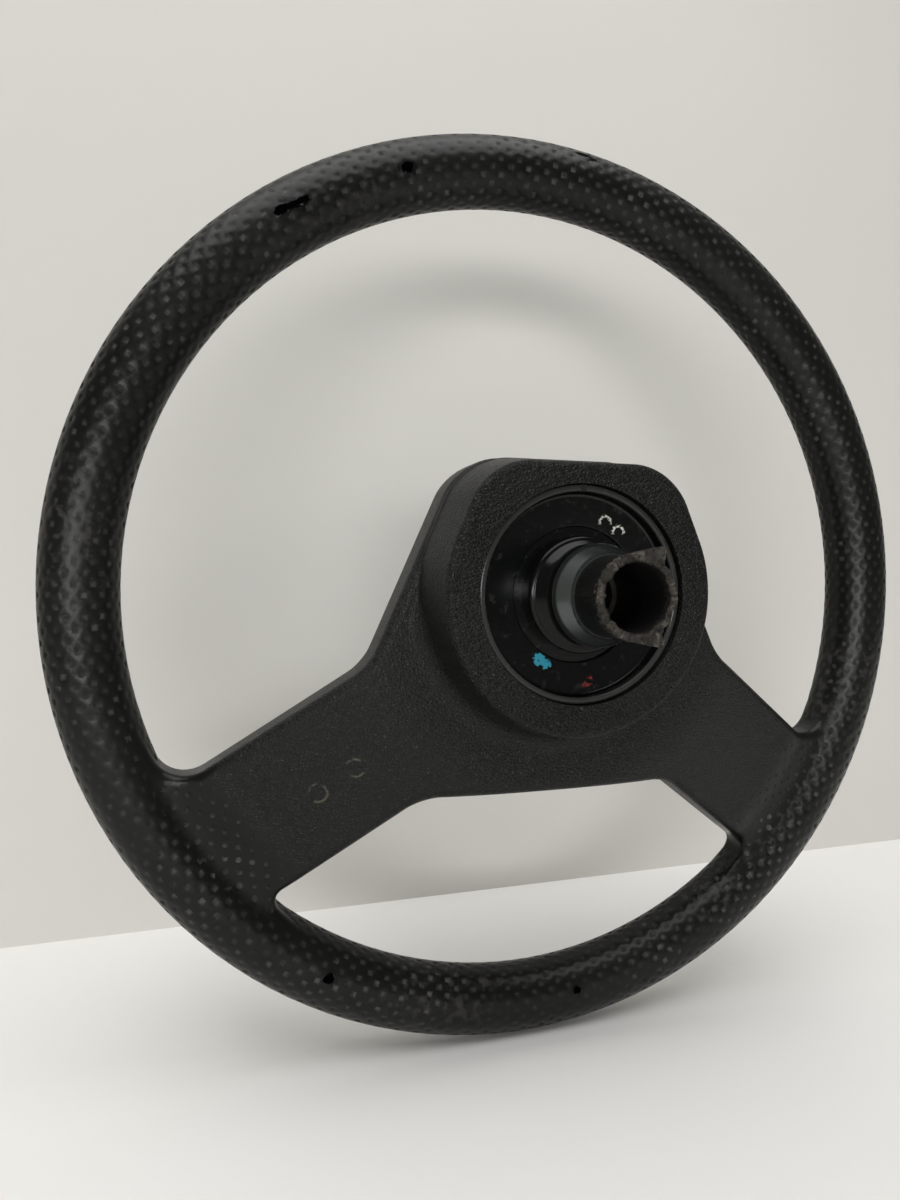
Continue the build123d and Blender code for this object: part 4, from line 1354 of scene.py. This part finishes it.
@dataclass
class Sleeve:
    """The cancel sleeve, broken at its end."""

    broken_from: float = 27.0 * MM
    end: float = 38.0 * MM
    bore: float = 11.4 * MM
    bore_zone: float = 12.2 * MM
    bore_slack: float = 0.1 * MM
    roughness: float = 0.4 * MM
    tear: float = 1.7 * MM
    rows: int = 18
    spokes: int = 60

    def build(self) -> bpy.types.Object:
        """Make the broken sleeve from the frame's own one.

        Returns:
            The sleeve.
        """
        bm = bmesh.new()
        bm.from_mesh(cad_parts["cancel_sleeve"].data)
        bmesh.ops.remove_doubles(bm, verts=bm.verts[:], dist=0.001 * MM)
        pace = (self.end - self.broken_from) / self.rows
        cuts = []
        for step in range(self.rows):
            cuts.append((Vector((0, self.broken_from + pace * step, 0)), Vector((0, 1, 0))))
        for step in range(self.spokes):
            angle = math.pi * step / self.spokes
            cuts.append((Vector((0, 0, 0)), Vector((math.cos(angle), 0, math.sin(angle)))))
        for place, normal in cuts:
            faces = [face for face in bm.faces if self._cut_here(face)]
            edges = dict.fromkeys(edge for face in faces for edge in face.edges)
            verts = dict.fromkeys(vert for face in faces for vert in face.verts)
            bmesh.ops.bisect_plane(bm, geom=[*verts, *edges, *faces], plane_co=place, plane_no=normal)
        for vert in bm.verts:
            self._break(vert)
        return shown("cancel_sleeve_broken", bm, 35.0)

    def _cut_here(self, face: bmesh.types.BMFace) -> bool:
        """Whether a face belongs to the bore or the broken end."""
        in_bore = all(math.hypot(vert.co.x, vert.co.z) < self.bore_zone for vert in face.verts)
        return in_bore or max(vert.co.y for vert in face.verts) > self.broken_from

    def _break(self, vert: bmesh.types.BMVert) -> None:
        """Roughen the end of the sleeve and tear its edge back."""
        share = (vert.co.y - self.broken_from) / (self.end - self.broken_from)
        flat = Vector((vert.co.x, 0.0, vert.co.z))
        around = flat.normalized()
        if abs(flat.length - self.bore) < self.bore_slack:
            vert.co += around * (self.bore - flat.length)
        if share <= 0.02:
            return
        torn = max(0.0, 0.8 + 0.9 * noise.noise(around * 2.3) + 0.8 * noise.noise(around * 6.0))
        frayed = (0.4 * noise.noise(flat * 700.0) + 0.4 * noise.noise(flat * 1700.0)) * share ** 9
        rough = 0.5 * noise.noise(vert.co * 420.0) + 0.7 * noise.noise(vert.co * 1100.0)
        rough += 0.6 * noise.noise(vert.co * 1900.0)
        spread = max(0.0, share - 0.7) if flat.length < self.bore_zone else share * share
        vert.co += around * (self.roughness * rough * min(1.0, 1.8 * spread))
        vert.co.y -= max(0.0, torn * share ** 3 + frayed) * self.tear


# The horn


@dataclass
class HornSprings:
    """The two bowed leaf springs under the horn pad."""

    offset: float = 31.0 * MM
    width: float = 7.0 * MM
    gauge: float = 0.6 * MM
    span: float = 22.0 * MM
    foot: float = 7.0 * MM
    rise: float = 6.1 * MM
    base: float = -40.0 * MM
    pressed_share: float = 0.69

    def build(self, side: int, name: str) -> bpy.types.Object:
        """Make one spring.

        Args:
            side: 1 for the +X one, -1 for the other.
            name: The piece's name.

        Returns:
            The spring.
        """
        bm = bmesh.new()
        length = self.span + self.foot
        bmesh.ops.create_grid(bm, x_segments=2, y_segments=36, size=0.5)
        half = self.span / 2
        radius = (half * half + self.rise * self.rise) / (2 * self.rise)
        for vert in bm.verts:
            along = -half - self.foot + (vert.co.y + 0.5) * length
            bow = 0.0
            if abs(along) < half:
                bow = math.sqrt(radius * radius - along * along) - (radius - self.rise)
            across = side * self.offset + vert.co.x * self.width
            vert.co = Vector((across, self.base - bow - self.gauge, along))
        bmesh.ops.recalc_face_normals(bm, faces=bm.faces[:])
        if bm.faces[:][0].normal.y > 0:
            bmesh.ops.reverse_faces(bm, faces=bm.faces[:])
        grown = bmesh.ops.extrude_face_region(bm, geom=bm.faces[:])["geom"]
        moved = [item for item in grown if isinstance(item, bmesh.types.BMVert)]
        bmesh.ops.translate(bm, vec=(0, self.gauge, 0), verts=moved)
        bmesh.ops.recalc_face_normals(bm, faces=bm.faces[:])
        return shown(name, bm, 45.0)


# The room


@dataclass(frozen=True)
class Lamp:
    """An area lamp: place and size in metres, power in watts, spread in degrees."""

    name: str
    place: Point
    wide: float
    high: float
    power: float
    spread: float


@dataclass
class Studio:
    """Floor, wall, lights and camera."""

    floor: float = -190.3 * MM
    wall: float = -206.0 * MM
    reach: float = 6.0
    eye: Point = (131.09 * MM, 262.13 * MM, 7.43 * MM)
    right: Point = (-0.95660667, 0.29138237, 0.0)
    down: Point = (0.00932203, 0.03060417, -0.99948811)
    ahead: Point = (-0.29123321, -0.95611699, -0.03199243)
    lens: float = 24.0
    floor_tone: Colour = tone(0.90, 0.89, 0.865)
    wall_tone: Colour = tone(0.67, 0.66, 0.62)
    sky: float = 0.14
    sky_tone: Colour = tone(1.0, 0.99, 0.97)
    aim: Point = (0.0, -0.05, 0.0)
    lamps: tuple[Lamp, ...] = (
        Lamp("ceiling", (0.1, 0.4, 1.5), 1.9, 1.9, 27.5, 180.0),
        Lamp("window", (0.5, 1.5, 0.08), 1.3, 0.22, 1.75, 64.0),
    )

    def build(self) -> None:
        """Set up the stage."""
        self._boards()
        self._lights()
        self._camera()

    def _boards(self) -> None:
        """Lay the floor and stand the wall."""
        floor = bmesh.new()
        place = Matrix.Translation((0, 0, self.floor)) @ Matrix.Scale(2 * self.reach, 4)
        bmesh.ops.create_grid(floor, x_segments=2, y_segments=2, size=0.5, matrix=place)
        wall = bmesh.new()
        place = Matrix.Translation((0, self.wall, self.floor + self.reach / 2))
        place = place @ Matrix.Rotation(-math.pi / 2, 4, "X") @ Matrix.Scale(self.reach, 4)
        bmesh.ops.create_grid(wall, x_segments=2, y_segments=2, size=0.5, matrix=place)
        for name, bm, finish in (
            ("floor", floor, PaleBoard("floor_white", self.floor_tone)),
            ("wall", wall, PaleBoard("wall_white", self.wall_tone, True)),
        ):
            board = shown(name, bm)
            board.data.materials.append(finish.make())

    def _lights(self) -> None:
        """Hang a wide soft lamp overhead, a long low one like a window, and an even sky."""
        world = bpy.data.worlds.new("sky")
        bpy.context.scene.world = world
        world.use_nodes = True
        world.node_tree.nodes["Background"].inputs["Color"].default_value = self.sky_tone
        world.node_tree.nodes["Background"].inputs["Strength"].default_value = self.sky
        for lamp in self.lamps:
            light = bpy.data.lights.new(lamp.name, "AREA")
            light.shape = "ELLIPSE" if lamp.wide == lamp.high else "RECTANGLE"
            light.size = lamp.wide
            light.size_y = lamp.high
            light.energy = lamp.power
            light.spread = math.radians(lamp.spread)
            holder = bpy.data.objects.new(lamp.name, light)
            holder.location = lamp.place
            ahead = Vector(self.aim) - Vector(lamp.place)
            holder.rotation_euler = ahead.to_track_quat("-Z", "Y").to_euler()
            bpy.context.scene.collection.objects.link(holder)

    def _camera(self) -> None:
        """Place the camera where the photograph was taken from."""
        view = bpy.data.cameras.new("camera")
        view.lens = self.lens
        view.sensor_width = 36.0
        view.sensor_fit = "AUTO"
        view.clip_start = 0.01
        holder = bpy.data.objects.new("camera", view)
        right, up, back = Vector(self.right), -Vector(self.down), -Vector(self.ahead)
        turn = Matrix((right, up, back)).transposed().to_4x4()
        holder.matrix_world = Matrix.Translation(self.eye) @ turn
        bpy.context.scene.collection.objects.link(holder)
        bpy.context.scene.camera = holder


def dress_nodes(finishes: dict[str, bpy.types.Material]) -> None:
    """Give the frame's own nodes their finishes.

    Args:
        finishes: Material by node name.
    """
    for name, material in finishes.items():
        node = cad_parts[name]
        if node.material_slots:
            node.material_slots[0].material = material
        else:
            node.data.materials.append(material)
        LOG.info("%s: %s", name, material.name)


def main() -> None:
    """Build every piece in order."""
    logging.basicConfig(level=logging.INFO, format="%(name)s: %(message)s")
    scene = bpy.context.scene
    scene.view_settings.view_transform = "Standard"
    Studio().build()

    settle(Moulding().build(), MouldedSkin().make(), Body.WHEEL, "moulding", "rim_moulding")
    settle(Dish().build(), GlossBlack().make(), Body.WHEEL, "dish", "hub_dish")
    settle(Sleeve().build(), SleeveBlack().make(), Body.WHEEL, "sleeve", "cancel_sleeve")

    spring_steel = Metal(
        "spring_steel", tone(0.30, 0.30, 0.31), tone(0.20, 0.19, 0.19), 0.3, (8, 8, 1),
    ).make()
    springs = HornSprings()
    for side, name in ((1, "horn_spring_right"), (-1, "horn_spring_left")):
        leaf = springs.build(side, name + "_leaf")
        settle(leaf, spring_steel, Body.WHEEL, "spring", name)
        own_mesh(leaf)

    bare = Metal("armature_steel", tone(0.42, 0.41, 0.39), tone(0.26, 0.22, 0.18), 0.42).make()
    boss = Metal(
        "greasy_steel", tone(0.05, 0.047, 0.042), tone(0.02, 0.018, 0.016), 0.45, (1, 12, 1),
    ).make()
    zinc = Metal("zinc_plate", tone(0.62, 0.61, 0.56), tone(0.50, 0.46, 0.33), 0.3).make()
    brass = Metal("contact_brass", tone(0.72, 0.52, 0.22), tone(0.42, 0.29, 0.13), 0.28).make()
    nylon = Plastic("bush_nylon", tone(0.78, 0.76, 0.68), tone(0.68, 0.65, 0.55), 0.42).make()
    laminate = Plastic("brown_laminate", tone(0.13, 0.062, 0.03), tone(0.09, 0.045, 0.024), 0.45).make()
    pad = Plastic(
        "pad_black", tone(0.021, 0.0222, 0.0215), tone(0.029, 0.03, 0.029), 0.46, 1.1 * MM, 0.22 * MM,
    ).make()
    finishes = {"hub_boss": boss, "horn_pad": pad, "contact_insulator": laminate}
    finishes |= {name: bare for name in ("armature_ring", "spoke_arm_left", "spoke_arm_right")}
    finishes |= {name: brass for name in ("contact_strip", "contact_rivets", "moving_contact")}
    finishes |= {f"guide_bush_{number}": nylon for number in range(1, 5)}
    plated = ("horn_base", "base_screws", "guide_studs", "spring_rivets", "horn_carrier", "carrier_screws")
    finishes |= {name: zinc for name in plated}
    dress_nodes(finishes)


if __name__ == "__main__":
    main()
